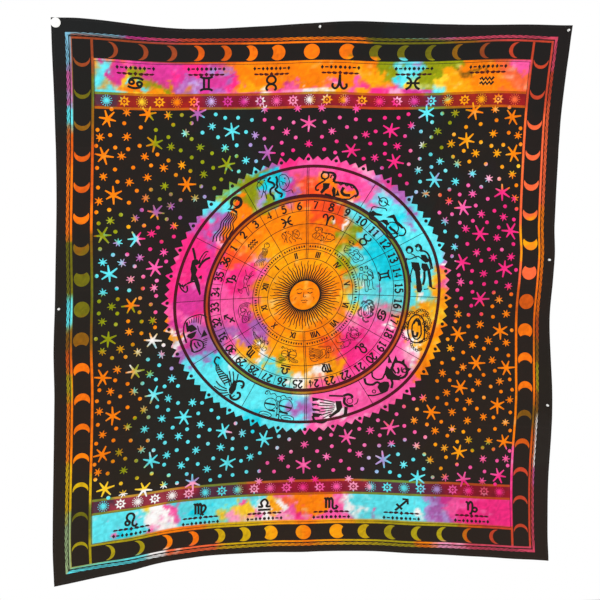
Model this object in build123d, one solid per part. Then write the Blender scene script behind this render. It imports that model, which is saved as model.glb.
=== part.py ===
from build123d import *
import os

# Printed cotton wall hanging, pinned to a wall. Millimetres.
# Origin: where the top middle pin enters the wall. +X right, +Z up, the front faces -Y.
# The wall is the plane y = 0 and the cloth hangs just in front of it.

# --- cloth -----------------------------------------------------------------
flat_width = 2100.0          # cut size before hanging, hems included
flat_height = 2300.0
cloth_thickness = 0.35
hem_width = 12.0
hem_thickness = 0.70         # two turned layers, folded to the back
stitch_inset = 9.5           # from the outer edge to the sewing line
thread_width = 0.6
thread_height = 0.25
edge_spans = 42              # straight spans that follow each gently curved edge

# Corners of the hung cloth, as (x, z).
top_left = (-1053.0, 9.0)
top_right = (1052.0, 33.0)
bottom_right = (1002.0, -2239.0)
bottom_left = (-1091.0, -2269.0)

# How far each edge leaves the straight line between its corners, as (share of the edge, mm).
# Top and bottom give the rise; left and right give the shift towards +X.
top_sag = [(0, 0), (0.05, -2), (0.24, -37), (0.40, -23), (0.54, 0), (0.79, -5), (1, 0)]
bottom_rise = [(0, 0), (0.14, 54), (0.28, 98), (0.52, 96), (0.72, 66), (0.87, 32), (1, 0)]
left_pull = [(0, 0), (0.15, 13), (0.30, 19), (0.45, 12), (0.57, 4), (0.66, 6), (0.92, -5), (1, 0)]
right_pull = [(0, 0), (0.10, -24), (0.19, -37), (0.36, -41), (0.42, -32), (0.54, -43),
              (0.70, -13), (0.84, -17), (0.94, -10), (1, 0)]

# --- lower part that lifts off the wall ---------------------------------------
hinge_height = -1650.0       # below the lowest pin
hinge_gap = 1.0

# --- push pins ---------------------------------------------------------------
push_pins = {
    "top_center": (0.0, 0.0),
    "top_right": (1033.0, 12.0),
    "left_middle": (-1047.0, -1129.0),
    "right_upper": (974.0, -935.0),
    "right_lower": (981.0, -1556.0),
}
needle_radius = 0.55
needle_depth = 10.0          # behind the wall's face, point included
needle_point = 2.5
needle_seat = 6.0            # length held inside the plastic head
needle_root_radius = 0.8     # thicker root, moulded into the head
head_gap = 0.30              # between the head and the cloth
head_flange_radius = 4.8
head_flange_thickness = 1.3
head_waist_radius = 2.5
head_waist_height = 6.5
head_knob_radius = 4.2
head_height = 10.0
hole_side = 2.4              # threads pushed aside around a needle

# --- cap nail in the top left corner -----------------------------------------
cap_nail = (-1035.0, -10.0)
cap_radius = 19.0
cap_rim = 1.2
cap_crown = 3.0
cap_dish = 1.0
nail_radius = 1.2
nail_neck_radius = 1.5       # where the cap grips it
nail_depth = 16.0
nail_point = 3.5
nail_head_radius = 2.8
nail_head_height = 0.9
nail_hole_side = 3.8

hem_back = 0.0
cloth_back = -hem_thickness
cloth_front = cloth_back - cloth_thickness


def smooth_through(knots, t):
    """Height at t of a smooth curve through the knots."""
    last = len(knots) - 1
    i = 0
    while i < last - 1 and t > knots[i + 1][0]:
        i += 1
    (t0, h0), (t1, h1) = knots[i], knots[i + 1]
    before = knots[i - 1] if i > 0 else knots[i]
    after = knots[i + 2] if i + 2 <= last else knots[i + 1]
    slope0 = (h1 - before[1]) / (t1 - before[0])
    slope1 = (after[1] - h0) / (after[0] - t0)
    span = t1 - t0
    s = (t - t0) / span
    return (
        h0 * (1 + 2 * s) * (1 - s) ** 2
        + slope0 * span * s * (1 - s) ** 2
        + h1 * s * s * (3 - 2 * s)
        + slope1 * span * s * s * (s - 1)
    )


def along(start, end, t):
    """Point at share t of the straight line from start to end."""
    return (start[0] + (end[0] - start[0]) * t, start[1] + (end[1] - start[1]) * t)


def top_edge(u):
    x, z = along(top_left, top_right, u)
    return (x, z + smooth_through(top_sag, u))


def bottom_edge(u):
    x, z = along(bottom_left, bottom_right, u)
    return (x, z + smooth_through(bottom_rise, u))


def left_edge(v):
    x, z = along(top_left, bottom_left, v)
    return (x + smooth_through(left_pull, v), z)


def right_edge(v):
    x, z = along(top_right, bottom_right, v)
    return (x + smooth_through(right_pull, v), z)


def hung(across, down):
    """Where a point of the flat cloth, in mm from its top left corner, hangs, as (x, z)."""
    u = across / flat_width
    v = down / flat_height
    sides = zip(top_edge(u), bottom_edge(u), left_edge(v), right_edge(v))
    corners = zip(top_left, top_right, bottom_left, bottom_right)
    place = []
    for (top, bottom, left, right), (tl, tr, bl, br) in zip(sides, corners):
        straight = (tl * (1 - u) + tr * u) * (1 - v) + (bl * (1 - u) + br * u) * v
        place.append(top * (1 - v) + bottom * v + left * (1 - u) + right * u - straight)
    return tuple(place)


def line(start, end):
    """Hung points along a straight line of the flat cloth."""
    return [hung(*along(start, end, i / edge_spans)) for i in range(edge_spans + 1)]


def plate(outline, back, thickness):
    """Flat closed solid of an outline of (x, z) points, reaching forward from y = back."""
    with BuildPart() as solid:
        with BuildSketch(Plane.XZ.offset(-back)):
            with BuildLine():
                Polyline(*outline, close=True)
            make_face()
        extrude(amount=thickness)
    return solid.part


def inset_corner(name, inset):
    """Corner of the flat cloth, moved in from both of its edges."""
    across = inset if "left" in name else flat_width - inset
    down = inset if "top" in name else flat_height - inset
    return (across, down)


def edge_strip(side, outer, inner, back, thickness):
    """Strip along one edge between two insets, mitred at both corners."""
    ends = {
        "top": ("top_left", "top_right"),
        "bottom": ("bottom_left", "bottom_right"),
        "left": ("top_left", "bottom_left"),
        "right": ("top_right", "bottom_right"),
    }[side]
    outside = line(*[inset_corner(name, outer) for name in ends])
    inside = line(*[inset_corner(name, inner) for name in ends])
    return plate(outside + inside[::-1], back, thickness)


def cut_at_hinge(shape, part):
    """The part of a shape above or below the line where the cloth lifts."""
    reach = 4000.0
    half_gap = hinge_gap / 2
    if part == "upper":
        middle = hinge_height + half_gap + reach / 2
    else:
        middle = hinge_height - half_gap - reach / 2
    return shape & Pos(0, 0, middle) * Box(reach, reach, reach)


def square_hole(x, z, side):
    return Pos(x, cloth_back, z) * Box(side, 4 * cloth_thickness, side)


def cloth_panel():
    corners = ["top_left", "top_right", "bottom_right", "bottom_left", "top_left"]
    outline = []
    for start, end in zip(corners, corners[1:]):
        outline += line(inset_corner(start, 0), inset_corner(end, 0))[:-1]
    panel = plate(outline, cloth_back, cloth_thickness)
    for x, z in push_pins.values():
        panel -= square_hole(x, z, hole_side)
    panel -= square_hole(*cap_nail, nail_hole_side)
    return panel


def turned(profile):
    """Solid of revolution about the y axis from (radius, y) points."""
    with BuildPart() as solid:
        with BuildSketch(Plane.XY):
            with BuildLine():
                Polyline(*profile, close=True)
            make_face()
        revolve(axis=Axis.Y)
    return solid.part


def push_pin_head():
    base = cloth_front - head_gap
    waist = base - head_flange_thickness
    knob = base - head_waist_height
    face = base - head_height
    seat = base - needle_seat
    edge_round = 0.5
    body = turned([
        (0, base),
        (head_flange_radius, base),
        (head_flange_radius, waist),
        (head_waist_radius, waist - 0.6),
        (head_waist_radius * 0.9, knob + 1.5),
        (head_knob_radius, knob),
        (head_knob_radius, face),
        (0, face),
    ])
    round_edges = body.edges().filter_by(GeomType.CIRCLE)
    rims = [e for e in round_edges if e.radius > head_waist_radius * 1.2]
    body = fillet(rims, edge_round)
    root = needle_root_radius
    return body - turned([(0, base), (root, base), (root, seat), (0, seat)])


def push_pin_needle():
    """Root in the head, then a thinner shaft to a conical point behind the wall's face."""
    base = cloth_front - head_gap
    seat = base - needle_seat
    return turned([
        (0, seat),
        (needle_root_radius, seat),
        (needle_root_radius, base),
        (needle_radius, base),
        (needle_radius, needle_depth - needle_point),
        (0, needle_depth),
    ])


def cap_disc():
    """Domed plastic disc with a hole for the nail, hollowed a little at the back."""
    base = cloth_front - head_gap
    crown = base - cap_crown
    back = base - cap_dish
    body = turned([
        (nail_neck_radius, back),
        (cap_radius * 0.45, back),
        (cap_radius * 0.95, base),
        (cap_radius, base),
        (cap_radius, base - cap_rim),
        (cap_radius * 0.62, crown + 0.4),
        (nail_head_radius * 1.4, crown),
        (nail_neck_radius, crown),
    ])
    rims = [e for e in body.edges().filter_by(GeomType.CIRCLE) if e.radius > cap_radius * 0.97]
    return fillet(rims, 0.5)


def nail_shape():
    crown = cloth_front - head_gap - cap_crown
    back = cloth_front - head_gap - cap_dish
    return turned([
        (0, crown - nail_head_height),
        (nail_head_radius, crown - nail_head_height),
        (nail_head_radius, crown),
        (nail_neck_radius, crown),
        (nail_neck_radius, back),
        (nail_radius, back),
        (nail_radius, nail_depth - nail_point),
        (0, nail_depth),
    ])


def save(shape, node):
    export_step(shape, "parts/" + node + ".step")


os.makedirs("parts", exist_ok=True)

whole_panel = cloth_panel()
save(cut_at_hinge(whole_panel, "upper"), "cloth_panel")
save(cut_at_hinge(whole_panel, "lower"), "cloth_lower_flap")

for side in ("top", "bottom"):
    hem = edge_strip(side, 0, hem_width, hem_back, hem_thickness)
    half = thread_width / 2
    thread = edge_strip(side, stitch_inset - half, stitch_inset + half, cloth_front, thread_height)
    save(hem, "hem_" + side)
    save(thread, "stitch_" + side)

for side in ("left", "right"):
    hem = edge_strip(side, 0, hem_width, hem_back, hem_thickness)
    half = thread_width / 2
    thread = edge_strip(side, stitch_inset - half, stitch_inset + half, cloth_front, thread_height)
    for part in ("upper", "lower"):
        save(cut_at_hinge(hem, part), "hem_" + side + "_" + part)
        save(cut_at_hinge(thread, part), "stitch_" + side + "_" + part)

pin_head = push_pin_head()
pin_needle = push_pin_needle()
for name, (x, z) in push_pins.items():
    save(Pos(x, 0, z) * pin_head, "pin_" + name + "_head")
    save(Pos(x, 0, z) * pin_needle, "pin_" + name + "_needle")

corner = Pos(cap_nail[0], 0, cap_nail[1])
save(corner * cap_disc(), "nail_cap")
save(corner * nail_shape(), "cap_nail")
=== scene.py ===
import math
import random
import bpy
import numpy as np
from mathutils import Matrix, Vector
from mathutils.geometry import delaunay_2d_cdt, tessellate_polygon


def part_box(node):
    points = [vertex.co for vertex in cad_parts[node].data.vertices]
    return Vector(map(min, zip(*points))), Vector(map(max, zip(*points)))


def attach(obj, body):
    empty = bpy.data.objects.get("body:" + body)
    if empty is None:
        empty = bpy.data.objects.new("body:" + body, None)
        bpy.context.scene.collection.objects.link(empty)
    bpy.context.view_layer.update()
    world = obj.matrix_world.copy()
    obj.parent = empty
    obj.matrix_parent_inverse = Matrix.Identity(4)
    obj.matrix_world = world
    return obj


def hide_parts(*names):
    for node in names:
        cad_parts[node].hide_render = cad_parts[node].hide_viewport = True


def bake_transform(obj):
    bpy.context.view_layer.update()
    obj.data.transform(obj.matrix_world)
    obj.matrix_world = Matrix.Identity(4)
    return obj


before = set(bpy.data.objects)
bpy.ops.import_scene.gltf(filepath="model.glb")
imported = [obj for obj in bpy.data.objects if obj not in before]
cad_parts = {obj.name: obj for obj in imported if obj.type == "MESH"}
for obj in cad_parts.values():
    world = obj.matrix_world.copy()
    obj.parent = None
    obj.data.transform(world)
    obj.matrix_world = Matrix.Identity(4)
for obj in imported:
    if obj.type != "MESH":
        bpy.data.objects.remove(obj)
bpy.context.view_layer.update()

mm = 0.001
bpy.ops.object.select_all(action="DESELECT")

# design lengths are millimetres on the flat cloth, from its centre, with y up
cloth = {
    "width": 2100.0,
    "height": 2300.0,
    "standOff": 0.9,      # the sheet's middle from the wall
    "gridStep": 7.5,      # the sheet's mesh
    "printStep": 15.0,    # the widest triangle of the printed pigment
    "printInset": 4,      # from the cloth's edge to the print's own grid
    "printLift": {"front": 0.32, "back": -0.32},       # the pigment from the sheet's middle
    # the corners on the wall, and how far each edge leaves the straight line between them
    "corners": [(-1053.0, 9.0), (1052.0, 33.0), (1002.0, -2239.0), (-1091.0, -2269.0)],
    "topSag": [(0, 0), (0.05, -2), (0.24, -37), (0.40, -23), (0.54, 0), (0.79, -5), (1, 0)],
    "bottomRise": [(0, 0), (0.14, 54), (0.28, 98), (0.52, 96), (0.72, 66), (0.87, 32), (1, 0)],
    "leftPull": [(0, 0), (0.15, 13), (0.30, 19), (0.45, 12), (0.57, 4), (0.66, 6), (0.92, -5), (1, 0)],
    "rightPull": [
        (0, 0), (0.10, -24), (0.19, -37), (0.36, -41), (0.42, -32),
        (0.54, -43), (0.70, -13), (0.84, -17), (0.94, -10), (1, 0),
    ],
}
halfWide, halfHigh = cloth["width"] / 2, cloth["height"] / 2
pinNames = ["top_center", "top_right", "left_middle", "right_upper", "right_lower"]


def smoothThrough(knots, t):
    place, height = np.array(knots, float).T
    slope = np.empty(len(place))
    slope[1:-1] = (height[2:] - height[:-2]) / (place[2:] - place[:-2])
    slope[0] = (height[1] - height[0]) / (place[1] - place[0])
    slope[-1] = (height[-1] - height[-2]) / (place[-1] - place[-2])
    t = np.clip(t, place[0], place[-1])
    i = np.clip(np.searchsorted(place, t, side="right") - 1, 0, len(place) - 2)
    span = place[i + 1] - place[i]
    s = (t - place[i]) / span
    first = height[i] * (1 + 2 * s) * (1 - s) ** 2 + slope[i] * span * s * (1 - s) ** 2
    last = height[i + 1] * s * s * (3 - 2 * s) + slope[i + 1] * span * s * s * (s - 1)
    return first + last


def smoothNoise(x, y, size, seed):
    rng = np.random.default_rng(seed)
    table = rng.uniform(-1, 1, (97, 97))
    fx, fy = x / size + 40.3, y / size + 40.7
    i, j = np.floor(fx).astype(int), np.floor(fy).astype(int)
    a, b = fx - i, fy - j
    a, b = a * a * (3 - 2 * a), b * b * (3 - 2 * b)
    i, j = i % 96, j % 96
    low = table[i, j] * (1 - a) + table[i + 1, j] * a
    high = table[i, j + 1] * (1 - a) + table[i + 1, j + 1] * a
    return low * (1 - b) + high * b


def ease(low, high, t):
    t = np.clip((t - low) / (high - low), 0, 1)
    return t * t * (3 - 2 * t)


def nodeMiddle(node):
    low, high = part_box(node)
    return [(a + b) / 2 / mm for a, b in zip(low, high)]


fixings = [nodeMiddle(f"pin_{name}_head") for name in pinNames] + [nodeMiddle("nail_cap")]

folds = {
    "base": 1.6,
    "ripples": [(690, 3.6, 0.4), (405, 2.6, 1.9), (233, 1.3, 4.1)],  # wave length, height, phase
    "ripplePull": 0.16,     # how far the ripples lean to the left as they fall
    "swag": (5.0, 11, 300, 1050),     # the top edge's slack: height, how fast it fades, shift, wave length
    "creasesAcross": [640.0, 66.0, -560.0],
    "creasesDown": [-490.0, 28.0, 540.0],
    "creaseWidth": 24.0,
    "creaseHeight": 1.3,
    "unevenness": [(1.2, 118, 61), (0.5, 64, 62)],        # height, size, seed
    "bottomWaves": (2.6, 150, 47, -560, 190),     # height, reach up, wave length, middle, reach along
    "pinReach": 110.0,
    "pulls": [              # x, y, direction in degrees, height, length of each tension fold
        (-1030, 1130, -38, 3.4, 420), (-1030, 1130, -72, 2.6, 360), (0, 1140, -150, 2.6, 300),
        (0, 1140, -32, 2.8, 320), (1030, 1130, -118, 3.0, 460), (1030, 1130, -160, 2.4, 380),
        (1020, 180, 168, 3.2, 360), (1020, 180, -158, 3.0, 380), (1015, -440, 170, 3.0, 330),
        (1015, -440, -146, 3.6, 420), (-1045, 10, -28, 3.0, 360), (-1045, 10, 22, 2.4, 300),
        (-1000, -980, 40, 3.6, 300), (-800, -1120, 62, 3.0, 220), (900, -1080, 110, 3.4, 260),
    ],
    "pullWidth": (26, 0.10),          # at the pin, and how it widens with the distance
}


def foldDepth(x, y, wallX, wallZ):
    v = 0.5 - y / cloth["height"]
    depth = folds["base"] + 0 * x
    lean = folds["ripplePull"] * (y - 1150)
    for length, height, phase in folds["ripples"]:
        wave = np.sin(2 * math.pi * (x - lean) / length + phase + 1.3 * np.sin(y / 540 + phase))
        depth = depth + height * (0.25 + 0.75 * v) * (1 + wave)
    height, fade, shift, length = folds["swag"]
    depth = depth + height * np.exp(-v * fade) * (1 + np.sin(2 * math.pi * (x + shift) / length))
    for number, place in enumerate(folds["creasesDown"]):
        wide = np.exp(-((x - place) / folds["creaseWidth"]) ** 2)
        depth = depth + (-1) ** number * folds["creaseHeight"] * wide
    for number, place in enumerate(folds["creasesAcross"]):
        wide = np.exp(-((y - place) / folds["creaseWidth"]) ** 2)
        depth = depth - (-1) ** number * folds["creaseHeight"] * wide
    root, spread = folds["pullWidth"]
    for px, py, turn, height, length in folds["pulls"]:
        c, s = math.cos(math.radians(turn)), math.sin(math.radians(turn))
        along = (x - px) * c + (y - py) * s
        across = (y - py) * c - (x - px) * s
        near = np.exp(-np.clip(along, 0, None) / length) * ease(-40, 60, along)
        depth = depth + height * near * np.exp(-(across / (root + spread * np.abs(along))) ** 2)
    for height, size, seed in folds["unevenness"]:
        depth = depth + height * smoothNoise(x, y, size, seed)
    height, up, length, middle, along = folds["bottomWaves"]
    bottom = np.exp(-((y + 1150) / up) ** 2)
    depth = depth + height * bottom * (1 + np.sin(x / length)) * np.exp(-((x - middle) / along) ** 2)
    hold = 1.0 + 0 * x
    for fixX, _, fixZ in fixings:
        away = (wallX - fixX) ** 2 + (wallZ - fixZ) ** 2
        hold = hold * (1 - np.exp(-away / folds["pinReach"] ** 2))
    return np.clip(depth, 0, None) * hold


def hang(x, y, lift=0.0):
    x, y = np.asarray(x, float), np.asarray(y, float)
    u, v = x / cloth["width"] + 0.5, 0.5 - y / cloth["height"]
    topLeft, topRight, bottomRight, bottomLeft = cloth["corners"]
    bows = [                                 # of the top, bottom, left and right edge: across, then up
        (0, 0, smoothThrough(cloth["leftPull"], v), smoothThrough(cloth["rightPull"], v)),
        (smoothThrough(cloth["topSag"], u), smoothThrough(cloth["bottomRise"], u), 0, 0),
    ]
    place = []
    for axis, (topBow, bottomBow, leftBow, rightBow) in enumerate(bows):
        tl, tr, br, bl = topLeft[axis], topRight[axis], bottomRight[axis], bottomLeft[axis]
        top = tl * (1 - u) + tr * u + topBow
        bottom = bl * (1 - u) + br * u + bottomBow
        left = tl * (1 - v) + bl * v + leftBow
        right = tr * (1 - v) + br * v + rightBow
        corner = (tl * (1 - u) + tr * u) * (1 - v) + (bl * (1 - u) + br * u) * v
        place.append(top * (1 - v) + bottom * v + left * (1 - u) + right * u - corner)
    depth = cloth["standOff"] + lift + foldDepth(x, y, place[0], place[1])
    return np.column_stack([place[0], -depth, place[1]]) * mm


# the print isn't quite square on the cloth, so its own lines drift a little
drift = {
    "top": [(-960, -6), (-750, 0), (-480, 10), (-240, 2), (0, -8), (260, -17), (450, -10), (620, 0),
            (760, 7), (960, 2)],
    "bottom": [(-960, 8), (-520, -8), (0, -5), (400, -5), (640, -2), (900, 0)],
    "left": [(-1100, 0), (0, -1), (360, -11), (960, 3), (1100, 3)],
    "right": [(-1100, -1), (-660, -7), (-360, -1), (-120, 9), (480, 9), (1080, 3)],
    "offset": (-5, -8),
    "middle": -18,
}


def printDrift(px, py):
    dx = drift["offset"][0] + drift["middle"] * np.exp(-(px / 320) ** 2) * (1 + 0.2 * py / 1100)
    dx = dx + smoothThrough(drift["left"], py) * ease(600, 900, -px)
    dx = dx + smoothThrough(drift["right"], py) * ease(600, 900, px)
    dy = drift["offset"][1] + smoothThrough(drift["top"], px) * ease(450, 800, py)
    dy = dy + smoothThrough(drift["bottom"], px) * ease(450, 800, -py)
    inside = (1 - ease(998, 1050, np.abs(px))) * (1 - ease(1110, 1150, np.abs(py)))
    return dx * inside, dy * inside


def toCloth(px, py):
    dx, dy = printDrift(px, py)
    return px + dx, py + dy


# the print is drawn as flat shapes, each over the ones before it, and cut into triangles at the end
shapes = []


def signedArea(points):
    return 0.5 * sum(ax * by - bx * ay for (ax, ay), (bx, by) in zip(points, points[1:] + points[:1]))


def paint(ink, points):
    area = signedArea(points)
    if abs(area) > 0.02:                     # the cutting needs every outline to run anticlockwise
        shapes.append((ink, points if area > 0 else points[::-1]))


def paintFree(ink, points):
    outline = [Vector((x, y, 0)) for x, y in points]
    for triangle in tessellate_polygon([outline]):
        paint(ink, [points[k] for k in triangle])


def circlePoints(x, y, r, sides, turn=0.0):
    steps = [math.tau * k / sides + turn for k in range(sides)]
    return [(x + r * math.cos(a), y + r * math.sin(a)) for a in steps]


def disc(ink, x, y, r, sides=16):
    paint(ink, circlePoints(x, y, r, sides))


def bar(ink, left, right, low, high):
    paint(ink, [(left, low), (right, low), (right, high), (left, high)])


def curve(points, steps=4, closed=False):
    if len(points) < 3:
        return list(points)
    ends = points if closed else [points[0]] + list(points) + [points[-1]]
    count = len(points) if closed else len(points) - 1
    out = []
    for k in range(count):
        if closed:
            a, b, c, d = (points[(k + j - 1) % len(points)] for j in range(4))
        else:
            a, b, c, d = ends[k:k + 4]
        for j in range(steps):
            t = j / steps
            out.append(tuple(
                0.5 * (2 * q + (r - p) * t + (2 * p - 5 * q + 4 * r - s) * t * t
                       + (3 * q - p - 3 * r + s) * t ** 3)
                for p, q, r, s in zip(a, b, c, d)
            ))
    if not closed:
        out.append(tuple(points[-1]))
    return out


def stroke(ink, path, width, end=1.0):
    count = len(path)
    if count < 2:
        return
    sides = []
    for k, (x, y) in enumerate(path):
        before, after = path[max(k - 1, 0)], path[min(k + 1, count - 1)]
        dx, dy = after[0] - before[0], after[1] - before[1]
        size = math.hypot(dx, dy) or 1.0
        half = 0.5 * width * (1 + (end - 1) * k / (count - 1))
        sides.append(((x - dy / size * half, y + dx / size * half),
                      (x + dy / size * half, y - dx / size * half)))
    for (a, b), (c, d) in zip(sides, sides[1:]):
        turns = signedArea([a, b, d]) * signedArea([a, d, c])
        if turns > 0:
            paint(ink, [a, b, d, c])
        else:
            paint(ink, [a, b, d])
            paint(ink, [a, d, c])


def moved(points, x, y, scale=1.0, turn=0.0):
    c, s = math.cos(math.radians(turn)), math.sin(math.radians(turn))
    return [(x + scale * (px * c - py * s), y + scale * (px * s + py * c)) for px, py in points]


def ringPoint(r, angle):
    a = math.radians(angle)
    return r * math.sin(a), r * math.cos(a)


random.seed(7)

# border: the black edge, a hatched line, a plain line, and the moons' rows and columns
border = {
    "hatchOuter": (996, 1108),
    "hatchInner": (984, 1096),
    "lineOuter": (980, 1091),
    "lineInner": (971, 1083),
    "columnInner": 899,
    "dividerInner": 889,
    "rowInner": 1010,
    "rowLine": 1001,
    "hatchPitch": 27.0,
    "hatchWidth": 9.5,
    "hatchLean": 56.0,
    "moonRadius": 32.5,
    "columnPitch": 126.25,
    "rowMoons": [142, 259, 369, 481, 591, 705, 825],
    "lit": [0.78, 0.52, 0.44, 0.38, 0.33, 0.29, 0.25, 0.22],
    "middle": -4,         # the height of the full moon in each column
}


def frameBar(ink, name):
    wide, high = border[name]
    bar(ink, -wide, wide, -high, high)


def moon(x, y, lit, towards):
    r = border["moonRadius"]
    disc("bare", x, y, r, 28)
    if lit < 1:
        far = 2 * r * lit
        a = math.radians(towards)
        cover = circlePoints(0, 0, r * 1.01, 28)
        paint("black", moved(cover, x - far * math.cos(a), y - far * math.sin(a)))


def drawBorder():
    bar("black", -halfWide, halfWide, -halfHigh, halfHigh)
    frameBar("bare", "hatchOuter")
    wide, high = border["hatchOuter"]
    innerWide, innerHigh = border["hatchInner"]
    pitch, thick, lean = border["hatchPitch"], border["hatchWidth"], border["hatchLean"]
    for k in range(int(2 * wide / pitch) - 2):
        x = -wide + 4 + k * pitch
        for side in (1, -1):
            y0, y1 = side * innerHigh, side * high
            paint("black", [(x, y0), (x + thick, y0), (x + thick + lean, y1), (x + lean, y1)])
    for k in range(int(2 * high / pitch) - 2):
        y = -high + 4 + k * pitch
        for side in (1, -1):
            x0, x1 = side * innerWide, side * wide
            paint("black", [(x0, y), (x0, y + thick), (x1, y + thick + lean), (x1, y + lean)])
    frameBar("black", "hatchInner")
    frameBar("bare", "lineOuter")
    frameBar("black", "lineInner")
    top = border["lineInner"][1]
    for side in (1, -1):
        inner, outer = border["dividerInner"], border["columnInner"]
        bar("bare", min(side * inner, side * outer), max(side * inner, side * outer), -top, top)
        low, high = border["rowLine"], border["rowInner"]
        bar("bare", -inner, inner, min(side * low, side * high), max(side * low, side * high))
    column = (border["columnInner"] + border["lineInner"][0]) / 2
    row = (border["rowInner"] + border["lineInner"][1]) / 2
    for side in (1, -1):
        moon(side * column, border["middle"], 1, 0)
        for k in range(1, 9):
            for up in (1, -1):
                y = border["middle"] + up * k * border["columnPitch"]
                moon(side * column, y, border["lit"][k - 1], -90 if up > 0 else 90)
        moon(0, side * row, 1, 0)
        for k, far in enumerate(border["rowMoons"]):
            moon(-far, side * row, border["lit"][k], 0)
            moon(far, side * row, border["lit"][k], 180)


# the two strips with the twelve signs, and the dark red bands with the small suns
strip = {
    "outer": 999,
    "inner": 878,
    "bandOuter": 868,
    "bandInner": 820,
    "end": 810,
    "halfWide": 887,
    "sunPitch": 70,
    "signs": [-725, -440, -165, 118, 410, 715],
    "top": ["cancer", "gemini", "taurus", "aries", "pisces", "aquarius"],
    "bottom": ["leo", "virgo", "libra", "scorpio", "sagittarius", "capricorn"],
    "signHeight": 920,
    "signScale": 0.62,
    "signWidth": 9.6,
    "leafHeight": 958,    # leaf chains and rows of dots stand for the names and dates
    "leafScale": 1.25,
    "dotHeight": 981,
    "dotScale": 1.7,
}

signPaths = {
    "aries": [
        ("curve", [(-42, 10), (-46, 30), (-30, 46), (-12, 34), (-3, 0), (0, -48)]),
        ("curve", [(42, 10), (46, 30), (30, 46), (12, 34), (3, 0), (0, -48)]),
    ],
    "taurus": [
        ("loop", [(0, 6), (-24, -4), (-30, -24), (-14, -46), (14, -46), (30, -24), (24, -4)]),
        ("curve", [(-22, 50), (-34, 38), (-24, 16), (0, 8), (24, 16), (34, 38), (22, 50)]),
    ],
    "gemini": [
        ("line", [(-16, 36), (-16, -36)]),
        ("line", [(16, 36), (16, -36)]),
        ("curve", [(-42, 48), (-20, 38), (20, 38), (42, 48)]),
        ("curve", [(-42, -48), (-20, -38), (20, -38), (42, -48)]),
    ],
    "cancer": [
        ("loop", [(-24, -8), (-38, -2), (-40, 10), (-28, 20), (-14, 14), (-11, 0)]),
        ("curve", [(-40, 8), (-32, 24), (-6, 33), (24, 32), (50, 22)]),
        ("loop", [(24, 8), (38, 2), (40, -10), (28, -20), (14, -14), (11, 0)]),
        ("curve", [(40, -8), (32, -24), (6, -33), (-24, -32), (-50, -22)]),
    ],
    "leo": [
        ("loop", [(-24, -2), (-38, -12), (-34, -30), (-16, -30), (-10, -12)]),
        ("curve",
            [(-14, -14), (-30, 18), (-18, 44), (8, 44), (20, 20), (8, -14), (10, -36), (26, -44),
                (40, -30)]),
    ],
    "virgo": [
        ("curve", [(-46, 36), (-36, 40), (-34, 20), (-34, -34)]),
        ("curve", [(-34, 26), (-22, 42), (-14, 20), (-14, -34)]),
        ("curve", [(-14, 26), (-2, 42), (6, 20), (6, -24), (20, -44)]),
        ("curve", [(6, 14), (22, 30), (36, 10), (22, -18), (-4, -40)]),
    ],
    "libra": [
        ("line", [(-44, -34), (44, -34)]),
        ("curve", [(-44, -10), (-14, -10), (-24, 18), (-6, 40), (12, 38), (24, 14), (14, -10), (44, -10)]),
    ],
    "scorpio": [
        ("curve", [(-46, 34), (-36, 38), (-34, 18), (-34, -34)]),
        ("curve", [(-34, 24), (-22, 40), (-12, 18), (-12, -34)]),
        ("curve", [(-12, 24), (0, 40), (10, 18), (10, -26), (22, -40), (40, -30)]),
        ("line", [(30, -14), (44, -26), (30, -42)]),
    ],
    "sagittarius": [
        ("line", [(-42, -42), (40, 38)]),
        ("line", [(6, 42), (42, 42), (42, 6)]),
        ("line", [(-34, 6), (4, -32)]),
    ],
    "capricorn": [
        ("curve", [(-44, 40), (-30, 34), (-26, 6), (-26, -22)]),
        ("curve", [(-26, 18), (-10, 42), (4, 26), (4, -16), (-4, -40), (-16, -46)]),
        ("loop", [(4, -10), (22, 2), (38, -10), (28, -28), (10, -24)]),
    ],
    "aquarius": [
        ("line", [(-46, 4), (-30, 24), (-18, 6), (-4, 24), (8, 6), (22, 24), (34, 6), (46, 18)]),
        ("line", [(-46, -26), (-30, -6), (-18, -24), (-4, -6), (8, -24), (22, -6), (34, -24), (46, -12)]),
    ],
    "pisces": [
        ("curve", [(-46, 42), (-22, 26), (-12, 0), (-22, -26), (-46, -42)]),
        ("curve", [(46, 42), (22, 26), (12, 0), (22, -26), (46, -42)]),
        ("line", [(-44, 0), (44, 0)]),
    ],
}


def pathOf(kind, points, curveSteps, loopSteps):
    if kind == "curve":
        return curve(points, curveSteps)
    if kind == "loop":
        points = curve(points, loopSteps, closed=True)
        return points + points[:2]
    return points


def drawStrokes(paths, x, y, scale, turn, width, loopSteps=3):
    for kind, points in paths:
        stroke("black", pathOf(kind, moved(points, x, y, scale, turn), 4, loopSteps), width)


def burstSun(x, y):
    for k in range(14):
        c, s = math.cos(math.tau * k / 14), math.sin(math.tau * k / 14)
        stroke("bare", [(x + 4 * c, y + 4 * s), (x + 17 * c, y + 17 * s)], 3.0, 1.1)
        disc("bare", x + 21.5 * c, y + 21.5 * s, 2.2, 6)
    disc("bare", x, y, 7.5, 12)


def gearSun(x, y):
    for k in range(8):
        petal = [(7.5, -4.5), (15, -4.5), (24, 0), (15, 4.5), (7.5, 4.5)]
        paint("bare", moved(petal, x, y, 1, 45 * k))
    disc("bare", x, y, 14, 18)
    disc("maroon", x, y, 9.5, 14)
    disc("bare", x, y, 4.6, 9)


def fleuron(ink, x, y, turn, size):
    for side in (1, -1):
        for k in range(3):
            leaf = [(0, 0), (5, 5.5), (13, 6), (19, 0), (13, -4), (5, -2)]
            leaf = [(side * (px + 8 + 17 * k), py * (1 - 0.15 * k)) for px, py in leaf]
            paint(ink, moved(leaf, x, y, size, turn))
    paint(ink, moved([(0, -7), (7, 0), (0, 8), (-7, 0)], x, y, size, turn))


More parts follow.
